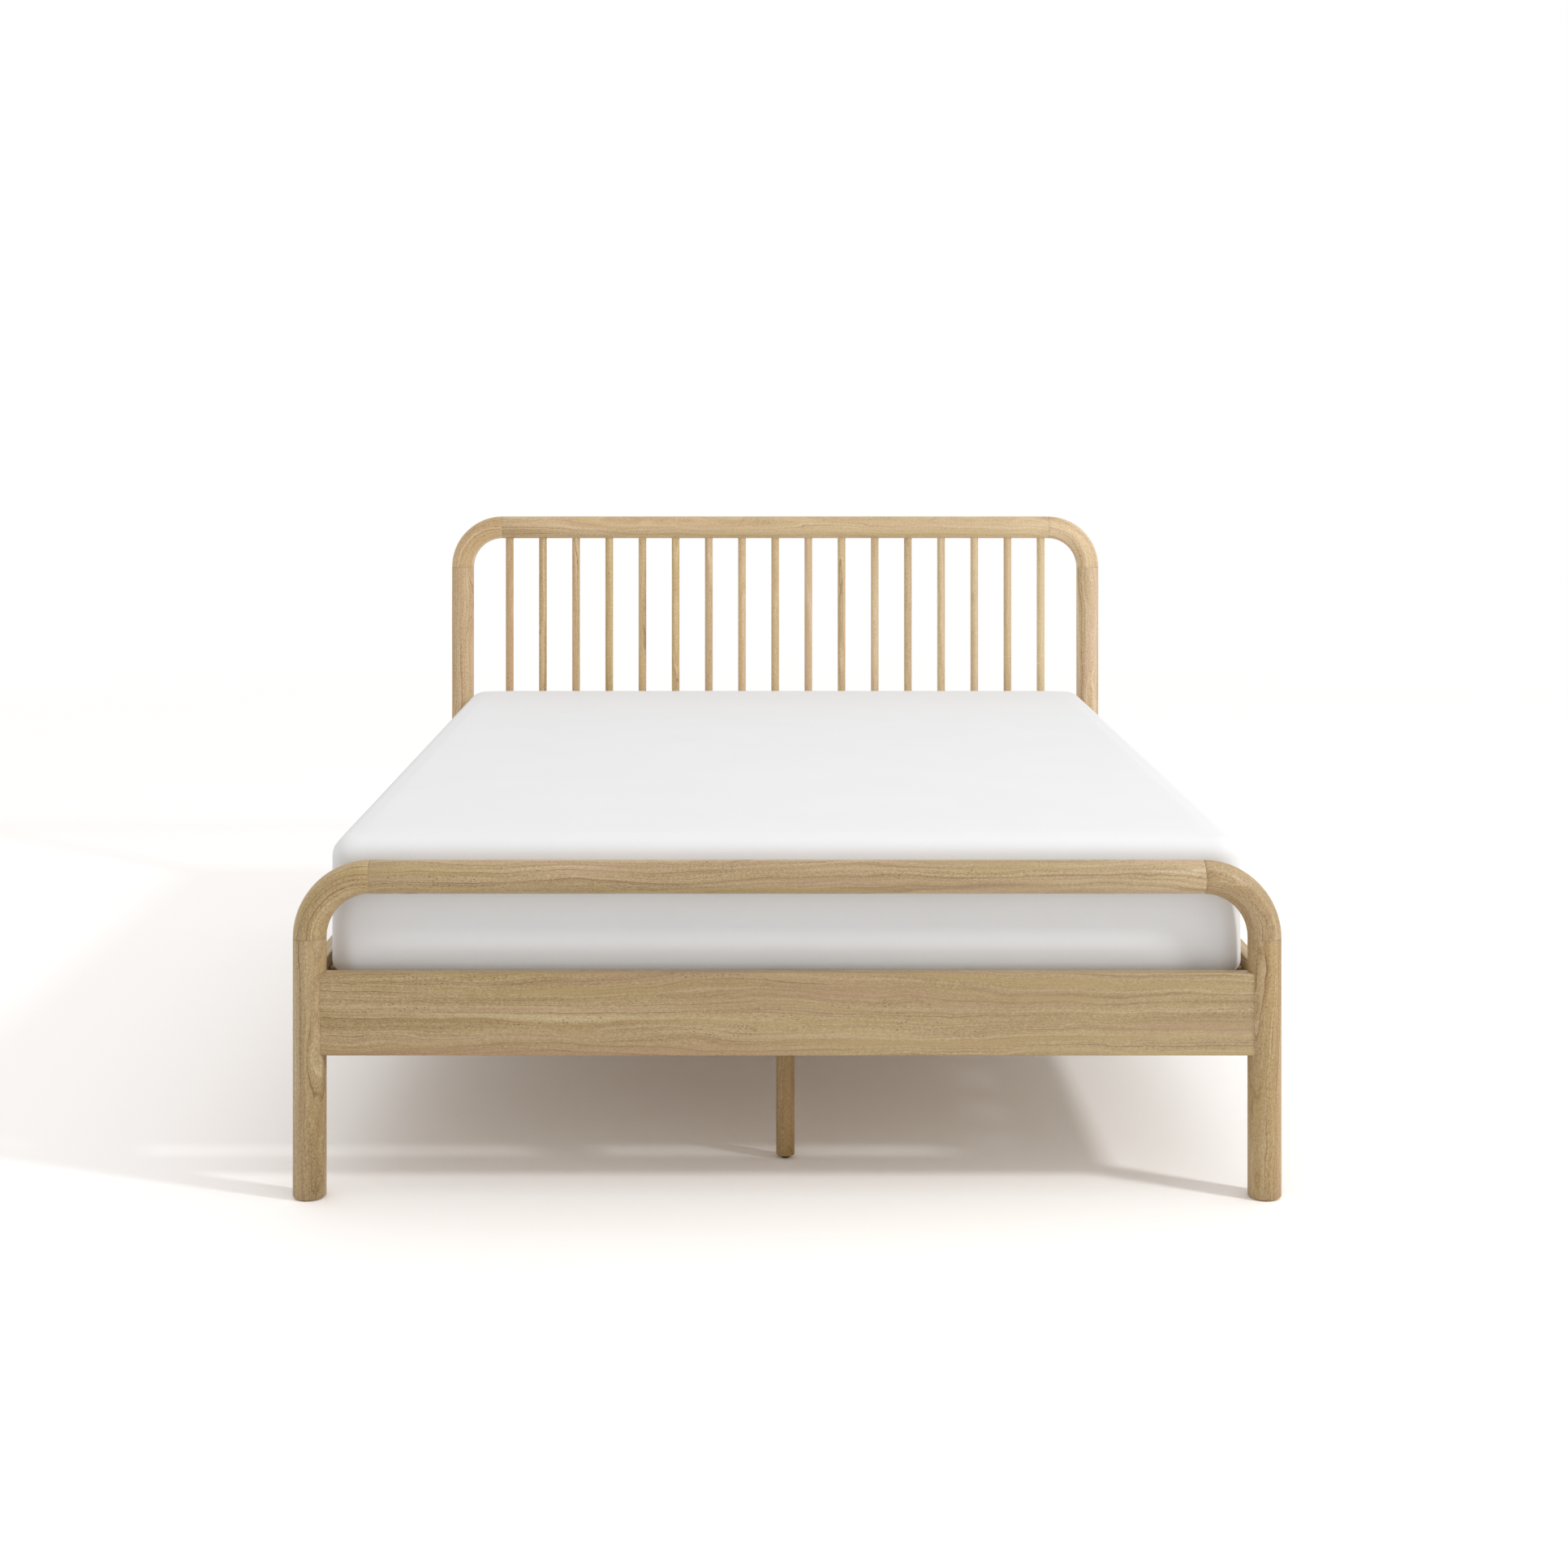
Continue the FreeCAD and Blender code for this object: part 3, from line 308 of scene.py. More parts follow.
def woodMaterial(name, along, centre, seed, tone=0.0, specks=1.0, pithAngle=None,
                 pithReach=0.13, bend=None, tint=None, paler=0.0, shiftName=None):
    # along is the grain's axis, bend the (centre, radius) of a bend that the grain goes round,
    # and paler how strong a painted highlight is at the bed's right side, nearest the lamp
    w = honeyWood
    dice = random.Random(seed)
    angle = dice.uniform(0, 2 * math.pi) if pithAngle is None else pithAngle
    offset = Vector((dice.uniform(*w["startRange"]), pithReach * math.cos(angle),
                     pithReach * math.sin(angle)))
    material, tree, shader = newMaterial(name)
    where = tree.nodes.new("ShaderNodeTexCoord").outputs["Object"]
    if bend:
        point = roundTheBend(tree, where, offset, *bend)
    else:
        point = alongThePiece(tree, where, offset, centre, along)
    if shiftName:
        shift = addNode(tree, "ShaderNodeAttribute", attribute_name=shiftName).outputs["Vector"]
        point = calcVector(tree, "ADD", point, shift)
    grain = addNode(tree, "ShaderNodeGroup", node_tree=grainGroup)
    wire(tree, point, grain.inputs["Point"])
    grain.inputs["Tone"].default_value = tone
    grain.inputs["Specks"].default_value = specks
    colour = grain.outputs["Colour"]
    if shiftName:
        lot = calc(tree, "FRACT", calcVector(tree, "DOT_PRODUCT", shift, w["lotWeights"]))
        own = blendColour(tree, lot, w["amber"], w["greyPink"])
        colour = blendColour(tree, 1.0, colour, own, "MULTIPLY")
    if tint:
        colour = blendColour(tree, 1.0, colour, (*tint, 1.0), "MULTIPLY")
    # painted highlight: a pale colour mixed in more and more towards the bed's right side, where
    # the lamp is
    if paler:
        x = addNode(tree, "ShaderNodeSeparateXYZ", {"Vector": where}).outputs["X"]
        paintedHighlight = ramp(tree, x, -w["paintedHighlightHalf"], w["paintedHighlightHalf"], 0.0, paler, smooth=False)
        colour = blendColour(tree, paintedHighlight, colour, w["paintedHighlightColour"])
    finishShader(tree, shader, colour, grain.outputs["Roughness"], grain.outputs["Height"],
                 w["bumpStrength"], w["bumpDepth"])
    shader.inputs["Coat Weight"].default_value = w["coat"]
    shader.inputs["Coat Roughness"].default_value = w["coatRoughness"]
    return material


def treeWithInputs(name, sockets):
    tree = bpy.data.node_groups.new(name, "GeometryNodeTree")
    for socketName, kind, value in sockets:
        item = tree.interface.new_socket(socketName, in_out="INPUT",
                                         socket_type=f"NodeSocket{kind}")
        if value is not None:
            item.default_value = value
    tree.interface.new_socket("Geometry", in_out="OUTPUT", socket_type="NodeSocketGeometry")
    return tree, tree.nodes.new("NodeGroupInput").outputs, tree.nodes.new("NodeGroupOutput")


def finishTree(tree, geometry, finish, leave):
    real = addNode(tree, "GeometryNodeRealizeInstances", {0: geometry})
    coat = addNode(tree, "GeometryNodeSetMaterial", {0: real.outputs[0], "Material": finish})
    tree.links.new(coat.outputs[0], leave.inputs[0])


def grow(name, tree, values, material):
    # runs a tree once and keeps its result as a plain mesh
    values = {**values, "Finish": material}
    carrier = addObject(name + "Carrier", bpy.data.meshes.new(name + "Carrier"))
    modifier = carrier.modifiers.new("tree", "NODES")
    modifier.node_group = tree
    for item in tree.interface.items_tree:
        if item.in_out == "INPUT" and item.name in values:
            modifier[item.identifier] = values[item.name]
    carrier.update_tag()
    bpy.context.view_layer.update()
    seen = carrier.evaluated_get(bpy.context.evaluated_depsgraph_get())
    mesh = bpy.data.meshes.new_from_object(seen)
    mesh.name = name
    carrier.modifiers.remove(modifier)
    bpy.data.objects.remove(carrier)
    piece = addObject(name, mesh)
    dress(piece, material)    # which also drops the empty slot that instances bring
    return piece


def makeStockTree(name, bent):
    # round stock: a straight length or a quarter bend, with its end edges eased
    sockets = [("Diameter", "Float", 0.055), ("Sides", "Int", 72), ("Steps", "Int", 12),
               ("End Ease", "Float", 0.0004), ("Start Ease", "Float", 0.0004)]
    if bent:
        sockets += [("Bend Radius", "Float", 0.1), ("First Angle", "Float", 0.0),
                    ("Centre", "Vector", None)]
    else:
        sockets += [("Start", "Vector", None), ("End", "Vector", None)]
    sockets.append(("Finish", "Material", None))
    tree, given, leave = treeWithInputs(name, sockets)
    if bent:
        arc = addNode(tree, "GeometryNodeCurveArc", {
            "Resolution": given["Steps"], "Radius": given["Bend Radius"],
            "Start Angle": given["First Angle"], "Sweep Angle": math.pi / 2}, mode="RADIUS")
        placed = addNode(tree, "GeometryNodeTransform", {
            0: arc.outputs[0], "Translation": given["Centre"], "Rotation": (math.pi / 2, 0, 0)})
        path = placed.outputs[0]
    else:
        line = addNode(tree, "GeometryNodeCurvePrimitiveLine",
                       {"Start": given["Start"], "End": given["End"]})
        path = addNode(tree, "GeometryNodeResampleCurve",
                       {"Curve": line.outputs[0], "Count": given["Steps"]}).outputs[0]

    # the second point from each end is pulled to the end, and the end ring made smaller
    index = addNode(tree, "GeometryNodeInputIndex").outputs[0]
    last = calc(tree, "SUBTRACT", given["Steps"], 1)
    position = addNode(tree, "GeometryNodeInputPosition").outputs[0]
    half = calc(tree, "DIVIDE", given["Diameter"], 2)
    scale = None
    for end, ease in ((0, given["Start Ease"]), (last, given["End Ease"])):
        near = calc(tree, "ADD", end, 1) if end == 0 else calc(tree, "SUBTRACT", end, 1)
        isNear = addNode(tree, "FunctionNodeCompare", {2: index, 3: near},
                         data_type="INT", operation="EQUAL").outputs[0]
        isEnd = addNode(tree, "FunctionNodeCompare", {2: index, 3: end},
                        data_type="INT", operation="EQUAL").outputs[0]
        endPoint = addNode(tree, "GeometryNodeFieldAtIndex", {"Index": end},
                           data_type="FLOAT_VECTOR")
        vectorSocket = next(s for s in endPoint.inputs if s.type == "VECTOR" and s.enabled)
        wire(tree, position, vectorSocket)
        endPosition = next(s for s in endPoint.outputs if s.type == "VECTOR" and s.enabled)
        toMe = calcVector(tree, "SUBTRACT", position, endPosition)
        unit = calcVector(tree, "NORMALIZE", toMe)
        scaled = addNode(tree, "ShaderNodeVectorMath", {0: unit, 3: ease}, operation="SCALE")
        target = calcVector(tree, "ADD", endPosition, scaled.outputs[0])
        moved = addNode(tree, "GeometryNodeSetPosition",
                        {0: path, "Selection": isNear, "Position": target})
        path = moved.outputs[0]
        shrink = calc(tree, "DIVIDE", ease, half)
        drop = calc(tree, "MULTIPLY", isEnd, shrink)
        scale = calc(tree, "SUBTRACT", 1.0 if scale is None else scale, drop)
    path = addNode(tree, "GeometryNodeSetCurveRadius", {0: path, "Radius": scale}).outputs[0]
    ring = addNode(tree, "GeometryNodeCurvePrimitiveCircle",
                   {"Resolution": given["Sides"], "Radius": half})
    tube = addNode(tree, "GeometryNodeCurveToMesh",
                   {0: path, "Profile Curve": ring.outputs[0], "Fill Caps": True})
    radius = addNode(tree, "GeometryNodeInputRadius").outputs[0]
    wire(tree, radius, tube.inputs["Scale"])
    smooth = addNode(tree, "GeometryNodeSetShadeSmooth",
                     {0: tube.outputs[0], "Shade Smooth": True})
    finishTree(tree, smooth.outputs[0], given["Finish"], leave)
    return tree


straightStock = makeStockTree("straightStock", bent=False)
bentStock = makeStockTree("bentStock", bent=True)


def freeze(obj):
    # applies every modifier
    seen = obj.evaluated_get(bpy.context.evaluated_depsgraph_get())
    mesh = bpy.data.meshes.new_from_object(seen)
    obj.modifiers.clear()
    old = obj.data
    obj.data = mesh
    bpy.data.meshes.remove(old)


def outwardFaces(mesh):
    work = bmesh.new()
    work.from_mesh(mesh)
    bmesh.ops.remove_doubles(work, verts=work.verts, dist=1e-6)
    bmesh.ops.recalc_face_normals(work, faces=work.faces)
    work.to_mesh(mesh)
    work.free()


roundFrame = {
    "diameter": 0.055,
    "bendRadius": 0.100,
    "postX": 0.7855,
    "postY": 1.0395,
    "headAxis": 0.9885,       # height of the top rail's centre line
    "footAxis": 0.5265,
    "glide": 0.0015,
    "jointEase": 0.0004,      # hairline at a glued joint
    "footEase": 0.003,
    "postPith": 0.24,         # far away, so that the posts' grain runs nearly straight
    "sides": 72,
    "steps": 24,              # rings along a straight piece
    "bendSteps": 36,
}

# colour against the plain wood (at the head partly painted light), specks, painted highlight to
# the right, seed and the side on which the pith lies
roundLooks = {
    "foot_post_left": ((0.97, 0.97, 1.00), 0.3, 0.0, 11, 0.6),
    "foot_post_right": ((0.96, 0.92, 0.88), 0.5, 0.0, 12, 2.4),
    "head_post_left": ((1.26, 1.24, 1.36), 0.4, 0.0, 13, 1.1),
    "head_post_right": ((1.46, 1.54, 1.95), 0.3, 0.0, 14, 2.9),
    "foot_bend_left": ((1.00, 1.00, 0.98), 1.0, 0.0, 15, 0.3),
    "foot_bend_right": ((1.00, 1.00, 1.06), 0.4, 0.0, 16, 2.0),
    "head_bend_left": ((1.42, 1.40, 1.56), 0.0, 0.0, 17, 0.0),
    "head_bend_right": ((1.52, 1.58, 1.92), 0.2, 0.0, 18, 0.2),
    "foot_top_rail": ((1.06, 1.08, 1.20), 1.0, 0.14, 19, 1.2),
    "head_top_rail": ((1.31, 1.33, 1.46), 0.2, 0.24, 20, 2.2),
}


def roundPiece(name, tree, along, centre, values, **grain):
    # one turned piece, in its own wood
    r = roundFrame
    tint, specks, paler, seed, pith = roundLooks[name]
    wood = woodMaterial(name + "Wood", along, centre, seed, 0.0, specks, pith, tint=tint,
                        paler=paler, **grain)
    return grow(name.replace("_", "") + "Round", tree, {
        "Diameter": r["diameter"], "Sides": r["sides"], "Steps": r["steps"],
        "Start Ease": r["jointEase"], "End Ease": r["jointEase"], **values}, wood)


def buildRoundFrame():
    r = roundFrame
    pieces = []
    for end, sign, axis in (("foot", -1, r["footAxis"]), ("head", 1, r["headAxis"])):
        y = sign * r["postY"]
        joint = axis - r["bendRadius"]
        railEnd = r["postX"] - r["bendRadius"]
        for side, way in (("left", -1), ("right", 1)):
            x = way * r["postX"]
            name = f"{end}_post_{side}"
            post = roundPiece(name, straightStock, "z", (x, y, joint / 2), {
                "Start": (x, y, r["glide"]), "End": (x, y, joint),
                "Start Ease": r["footEase"]}, pithReach=r["postPith"])
            pieces.append((post, name))

            centre = (way * railEnd, y, joint)
            bend = roundPiece(f"{end}_bend_{side}", bentStock, "x", centre, {
                "Steps": r["bendSteps"], "Bend Radius": r["bendRadius"], "Centre": centre,
                "First Angle": 0.0 if way > 0 else math.pi / 2}, bend=(centre, r["bendRadius"]))
            pieces.append((bend, f"{end}_bends"))

        name = f"{end}_top_rail"
        rail = roundPiece(name, straightStock, "x", (0, y, axis), {
            "Start": (-railEnd, y, axis), "End": (railEnd, y, axis)})
        pieces.append((rail, name))
    for piece, node in pieces:
        outwardFaces(piece.data)
        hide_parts(node)
        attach(piece, "bed_frame")
    print("round frame:", len(pieces), "pieces")


buildRoundFrame()


spindles = {
    "count": 17,
    "pitch": 0.0835,
    "diameter": 0.0195,
    "low": 0.3575,            # inside the head rail
    "high": 0.975,            # inside the top rail
    "sides": 40,
    "steps": 14,
    "middle": 0.67,           # height about which the grain is turned
    "pithReach": 0.10,
    "woodSeed": 31,
    "specks": 0.8,
    # lighter than the plain wood, partly painted light for the brighter light at the head
    "tint": (1.27, 1.28, 1.32),
    # strength of the painted highlight towards the bed's right side
    "paler": 0.34,
    # each spindle is cut from its own place in the tree, between these two
    "cutFrom": (0.0, -0.4, -0.4),
    "cutTo": (30.0, 0.4, 0.4),
    "seed": 5,
}


def makeSpindleTree():
    tree, given, leave = treeWithInputs("spindleRow", [
        ("Count", "Int", 17), ("Pitch", "Float", 0.08), ("Diameter", "Float", 0.02),
        ("Length", "Float", 0.6), ("First", "Vector", None), ("Sides", "Int", 40),
        ("Seed", "Int", 0), ("Finish", "Material", None)])
    step = addNode(tree, "ShaderNodeCombineXYZ", {0: given["Pitch"], 1: 0.0, 2: 0.0})
    row = addNode(tree, "GeometryNodeMeshLine", {"Count": given["Count"],
                                                 "Start Location": given["First"],
                                                 "Offset": step.outputs[0]}, mode="OFFSET")
    rise = addNode(tree, "ShaderNodeCombineXYZ", {0: 0.0, 1: 0.0, 2: given["Length"]})
    line = addNode(tree, "GeometryNodeCurvePrimitiveLine", {"End": rise.outputs[0]})
    fine = addNode(tree, "GeometryNodeResampleCurve",
                   {"Curve": line.outputs[0], "Count": spindles["steps"]})
    ring = addNode(tree, "GeometryNodeCurvePrimitiveCircle", {
        "Resolution": given["Sides"], "Radius": calc(tree, "DIVIDE", given["Diameter"], 2)})
    rod = addNode(tree, "GeometryNodeCurveToMesh", {0: fine.outputs[0],
                                                    "Profile Curve": ring.outputs[0],
                                                    "Fill Caps": True})
    smooth = addNode(tree, "GeometryNodeSetShadeSmooth", {0: rod.outputs[0]})
    placed = addNode(tree, "GeometryNodeInstanceOnPoints", {"Points": row.outputs[0],
                                                            "Instance": smooth.outputs[0]})
    shift = addNode(tree, "FunctionNodeRandomValue", {
        0: spindles["cutFrom"], 1: spindles["cutTo"], "Seed": given["Seed"]},
        data_type="FLOAT_VECTOR")
    kept = addNode(tree, "GeometryNodeStoreNamedAttribute", {
        0: placed.outputs[0], "Name": "woodShift", "Value": shift.outputs[0]},
        data_type="FLOAT_VECTOR", domain="INSTANCE")
    finishTree(tree, kept.outputs[0], given["Finish"], leave)
    return tree


def buildSpindles():
    s = spindles
    wood = woodMaterial("spindleWood", "z", (0, roundFrame["postY"], s["middle"]),
                        s["woodSeed"], specks=s["specks"], tint=s["tint"], paler=s["paler"],
                        shiftName="woodShift", pithReach=s["pithReach"])
    first = -(s["count"] - 1) / 2 * s["pitch"]
    row = grow("spindleRow", makeSpindleTree(), {
        "Count": s["count"], "Pitch": s["pitch"], "Diameter": s["diameter"],
        "Length": s["high"] - s["low"], "First": (first, roundFrame["postY"], s["low"]),
        "Sides": s["sides"], "Seed": s["seed"]}, wood)
    outwardFaces(row.data)
    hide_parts(*[f"spindle_{i:02d}" for i in range(1, s["count"] + 1)])
    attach(row, "bed_frame")
    print("spindles:", s["count"])


buildSpindles()


# grain's axis, colour against the plain wood (the head rail's partly painted light), specks,
# painted highlight to the right, seed, pith's side and distance
boardLooks = {
    "foot_rail": ("x", (0.88, 0.86, 0.83), 1.0, 0.13, 41, 1.35, 0.16),
    "head_rail": ("x", (1.20, 1.20, 1.28), 0.3, 0.20, 42, 1.5, 0.18),
    "side_rail_left": ("y", (1.00, 1.00, 1.00), 0.5, 0.0, 43, 0.2, 0.16),
    "side_rail_right": ("y", (1.00, 1.00, 1.00), 0.5, 0.0, 44, 2.9, 0.16),
    "slat_ledger_left": ("y", (1.08, 1.08, 1.10), 0.3, 0.0, 45, 0.8, 0.10),
    "slat_ledger_right": ("y", (1.08, 1.08, 1.10), 0.3, 0.0, 46, 2.2, 0.10),
    "centre_beam": ("y", (0.94, 0.92, 0.90), 0.5, 0.0, 47, 1.4, 0.09),
}


slatLooks = {
    "count": 10,
    "firstSeed": 60,
    "tones": (-0.06, 0.10),   # darkest and palest slat against the plain wood
    "specks": 0.5,
    "pithReach": 0.08,
}

legLooks = {
    "seeds": {"front": 81, "middle": 82, "rear": 83},
    "specks": 0.6,
    "pithReach": 0.07,
    "tint": (0.88, 0.78, 0.66),
}


def finishBoard(name, along, *grain, **more):
    low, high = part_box(name)
    middle = (Vector(low) + Vector(high)) / 2
    dress(nodes[name], woodMaterial(name + "Wood", along, middle, *grain, **more))


def finishBoards():
    for name, (along, tint, specks, paler, seed, pith, reach) in boardLooks.items():
        finishBoard(name, along, seed, 0.0, specks, pith, reach, tint=tint, paler=paler)
    for number in range(1, slatLooks["count"] + 1):
        tone = random.Random(number).uniform(*slatLooks["tones"])
        finishBoard(f"slat_{number:02d}", "x", slatLooks["firstSeed"] + number, tone,
                    slatLooks["specks"], pithReach=slatLooks["pithReach"])
    for place, seed in legLooks["seeds"].items():
        finishBoard(f"centre_leg_{place}", "z", seed, specks=legLooks["specks"],
                    pithReach=legLooks["pithReach"], tint=legLooks["tint"])
    print("boards, slats, beam and centre legs finished")


finishBoards()


zincLooks = {
    "bloomCells": (160, 160, 160),
    "scuffCells": (40, 900, 900),
    "bloomRange": (0.35, 0.7),
    "dull": screen(170, 173, 178),
    "bright": screen(204, 205, 206),
    "roughness": 0.24,
    "scuffRoughness": 0.1,
    "bloomRoughness": 0.18,
    "bumpStrength": 0.25,
    "bumpDepth": 0.0001,
}


def zincMaterial():
    z = zincLooks
    material, tree, shader = newMaterial("brightZinc")
    where = tree.nodes.new("ShaderNodeTexCoord").outputs["Object"]
    bloom = noise(tree, where, z["bloomCells"], 3, 0.6)
    scuff = noise(tree, where, z["scuffCells"], 2)
    colour = blendColour(tree, ramp(tree, bloom, *z["bloomRange"]), z["dull"], z["bright"])
    rough = calc(tree, "MULTIPLY_ADD", bloom, z["bloomRoughness"],
                 calc(tree, "MULTIPLY_ADD", scuff, z["scuffRoughness"], z["roughness"]))
    finishShader(tree, shader, colour, rough, scuff, z["bumpStrength"], z["bumpDepth"])
    shader.inputs["Metallic"].default_value = 1.0
    return material


mouldLooks = {
    "grainCells": (1800, 1800, 1800),
    "dustCells": (90, 90, 90),
    "dustRange": (0.5, 0.8),
    "dustMost": 0.5,
    "roughness": 0.45,
    "grainRoughness": 0.2,
    "bumpStrength": 0.3,
    "bumpDepth": 0.0001,
}


def mouldedMaterial(name, colour, worn):
    m = mouldLooks
    material, tree, shader = newMaterial(name)
    where = tree.nodes.new("ShaderNodeTexCoord").outputs["Object"]
    grainy = noise(tree, where, m["grainCells"], 2)
    dusty = noise(tree, where, m["dustCells"], 3)
    dust = ramp(tree, dusty, *m["dustRange"], 0, m["dustMost"])
    rough = calc(tree, "MULTIPLY_ADD", grainy, m["grainRoughness"], m["roughness"])
    finishShader(tree, shader, blendColour(tree, dust, colour, worn), rough, grainy,
                 m["bumpStrength"], m["bumpDepth"])
    return material


def finishHardware():
    zinc = zincMaterial()
    for name in ("corner_brackets", "bracket_bolts", "beam_hangers", "leg_hanger_bolts"):
        dress(nodes[name], zinc)
    black = mouldedMaterial("blackPlastic", screen(34, 33, 33), screen(70, 68, 66))
    for place in ("front", "middle", "rear"):
        dress(nodes[f"leveller_{place}"], black)
    brown = mouldedMaterial("glidePlastic", screen(58, 48, 40), screen(92, 80, 70))
    dress(nodes["post_glides"], brown)
    print("hardware finished")
    return zinc


zinc = finishHardware()


screws = {
    "headRadius": 0.0042,
    "headHeight": 0.0021,
    "crossReach": 0.0026,
    "crossWidth": 0.0009,
    "crossDepth": 0.0013,
    "sides": 24,
    # the dome's rings, from under the wood's surface to the top: width and height, of the head's
    "dome": ((1.0, -0.15), (1.0, 0.25), (0.93, 0.55), (0.74, 0.84), (0.42, 1.0)),
}

# first place, step to the next, how many, turn from upright, and size of the head
screwRows = {
    "slatScrewsLeft": ((-0.762, -0.8865, 0.350), (0, 0.197, 0), 10, (0, 0, 0), (1, 1, 0.3)),
    "slatScrewsRight": ((0.762, -0.8865, 0.350), (0, 0.197, 0), 10, (0, 0, 0), (1, 1, 0.3)),
    "ledgerScrewsLeft": ((-0.7495, -0.788, 0.3195), (0, 0.394, 0), 5, (0, math.pi / 2, 0),
                         (1, 1, 1)),
    "ledgerScrewsRight": ((0.7495, -0.788, 0.3195), (0, 0.394, 0), 5, (0, -math.pi / 2, 0),
                          (1, 1, 1)),
    "hangerScrewsFoot": ((-0.029, -1.0295, 0.29575), (0.058, 0, 0), 2, (-math.pi / 2, 0, 0),
                         (1.15, 1.15, 1.2)),
    "hangerScrewsHead": ((-0.029, 1.024, 0.29575), (0.058, 0, 0), 2, (math.pi / 2, 0, 0),
                         (1.15, 1.15, 1.2)),
}


def meshFromBmesh(name, work):
    bmesh.ops.recalc_face_normals(work, faces=work.faces)
    mesh = bpy.data.meshes.new(name)
    work.to_mesh(mesh)
    work.free()
    return addObject(name, mesh)


def fixOrder(mesh):
    # a cut leaves faces and their corners in another order each run
    faces = []
    for polygon in mesh.polygons:
        corners = list(polygon.vertices)
        first = corners.index(min(corners))
        faces.append(corners[first:] + corners[:first])
    places = [v.co.copy() for v in mesh.vertices]
    mesh.clear_geometry()
    mesh.from_pydata(places, [], sorted(faces))


def makeScrewHead():
    # a low dome on the z axis, with a cross cut into it
    s = screws
    work = bmesh.new()
    turns = [2 * math.pi * i / s["sides"] for i in range(s["sides"])]
    rings = []
    for wide, tall in s["dome"]:
        radius, height = s["headRadius"] * wide, s["headHeight"] * tall
        rings.append([work.verts.new((radius * math.cos(turn), radius * math.sin(turn), height))
                      for turn in turns])
    for lower, upper in zip(rings, rings[1:]):
        for i in range(s["sides"]):
            j = (i + 1) % s["sides"]
            work.faces.new((lower[i], lower[j], upper[j], upper[i]))
    work.faces.new(rings[0])
    work.faces.new(rings[-1])
    head = meshFromBmesh("screwHead", work)

    work = bmesh.new()
    floor = s["headHeight"] - s["crossDepth"]
    long, short = s["crossReach"], s["crossWidth"] / 2
    outline = [(long, short), (short, short), (short, long), (-short, long), (-short, short),
               (-long, short), (-long, -short), (-short, -short), (-short, -long),
               (short, -long), (short, -short), (long, -short)]
    base = work.faces.new([work.verts.new((x, y, floor)) for x, y in outline])
    made = bmesh.ops.extrude_face_region(work, geom=[base])["geom"]
    for v in made:
        if isinstance(v, bmesh.types.BMVert):
            v.co.z += 2 * s["crossDepth"]
    cutter = meshFromBmesh("screwCross", work)

    cut = head.modifiers.new("cross", "BOOLEAN")
    cut.operation = "DIFFERENCE"
    cut.solver = "EXACT"
    cut.object = cutter
    freeze(head)
    bpy.data.objects.remove(cutter)
    fixOrder(head.data)
    return head


def makeScrewTree():
    tree, given, leave = treeWithInputs("screwRow", [
        ("Head", "Object", None), ("First", "Vector", None), ("Step", "Vector", None),
        ("Count", "Int", 2), ("Turn", "Vector", None), ("Size", "Vector", None),
        ("Seed", "Int", 0), ("Finish", "Material", None)])
    row = addNode(tree, "GeometryNodeMeshLine", {"Count": given["Count"],
                                                 "Start Location": given["First"],
                                                 "Offset": given["Step"]}, mode="OFFSET")
    head = addNode(tree, "GeometryNodeObjectInfo", {"Object": given["Head"]})
    # each screw was driven home at its own angle
    angle = addNode(tree, "FunctionNodeRandomValue", {2: 0.0, 3: math.pi, "Seed": given["Seed"]},
                    data_type="FLOAT")
    twist = addNode(tree, "ShaderNodeCombineXYZ", {2: angle.outputs[1]})
    placed = addNode(tree, "GeometryNodeInstanceOnPoints", {
        "Points": row.outputs[0], "Instance": head.outputs["Geometry"],
        "Rotation": given["Turn"], "Scale": given["Size"]})
    turned = addNode(tree, "GeometryNodeRotateInstances", {
        0: placed.outputs[0], "Rotation": twist.outputs[0], "Local Space": True})
    finishTree(tree, turned.outputs[0], given["Finish"], leave)
    return tree


def buildScrews(finish):
    head = makeScrewHead()
    tree = makeScrewTree()
    for seed, (name, (first, step, count, turn, size)) in enumerate(screwRows.items()):
        row = grow(name, tree, {"Head": head, "First": first, "Step": step, "Count": count,
                                "Turn": turn, "Size": size, "Seed": seed}, finish)
        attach(row, "bed_frame")
    bpy.data.objects.remove(head)
    print("screws:", sum(row[2] for row in screwRows.values()))


buildScrews(zinc)


mattress = {
    "halfWidth": 0.764,
    "halfLength": 1.015,
    "shift": 0.0065,          # towards the head, clear of the foot's top rail
    "seat": 0.350,            # top of the slats
    "top": 0.585,
    "crown": 0.001,
    "cornerRadius": 0.046,
    "topRadius": 0.034,
    "lowRadius": 0.021,
    "voxel": 0.018,
    "startInset": 0.0025,     # the pad swells, so it starts a little smaller
    "pressure": 0.12,         # light, because a mattress is tied through its core
    "frames": 20,
    "quality": 5,
    "cap": 0.0045,            # how far a point may swell
    "fill": 0.95,
}


knitLooks = {
    "palest": screen(242, 242, 243),
    "paler": screen(238, 238, 239),
    "between": screen(225, 224, 222),      # the gaps between the fibres
    "softCells": (7, 7, 7),
    "fuzzCells": (500, 500, 500),
    "fuzzRange": (0.3, 0.7),
    "fuzzMost": 0.10,
    "loopScale": 420.0,
    "loopDistortion": 1.5,
    "fuzzHeight": 0.6,
    "roughness": 0.82,
    "fuzzRoughness": 0.1,
    "bumpStrength": 0.2,
    "bumpDepth": 0.0002,
    "sheen": 0.12,
    "sheenRoughness": 0.5,
}


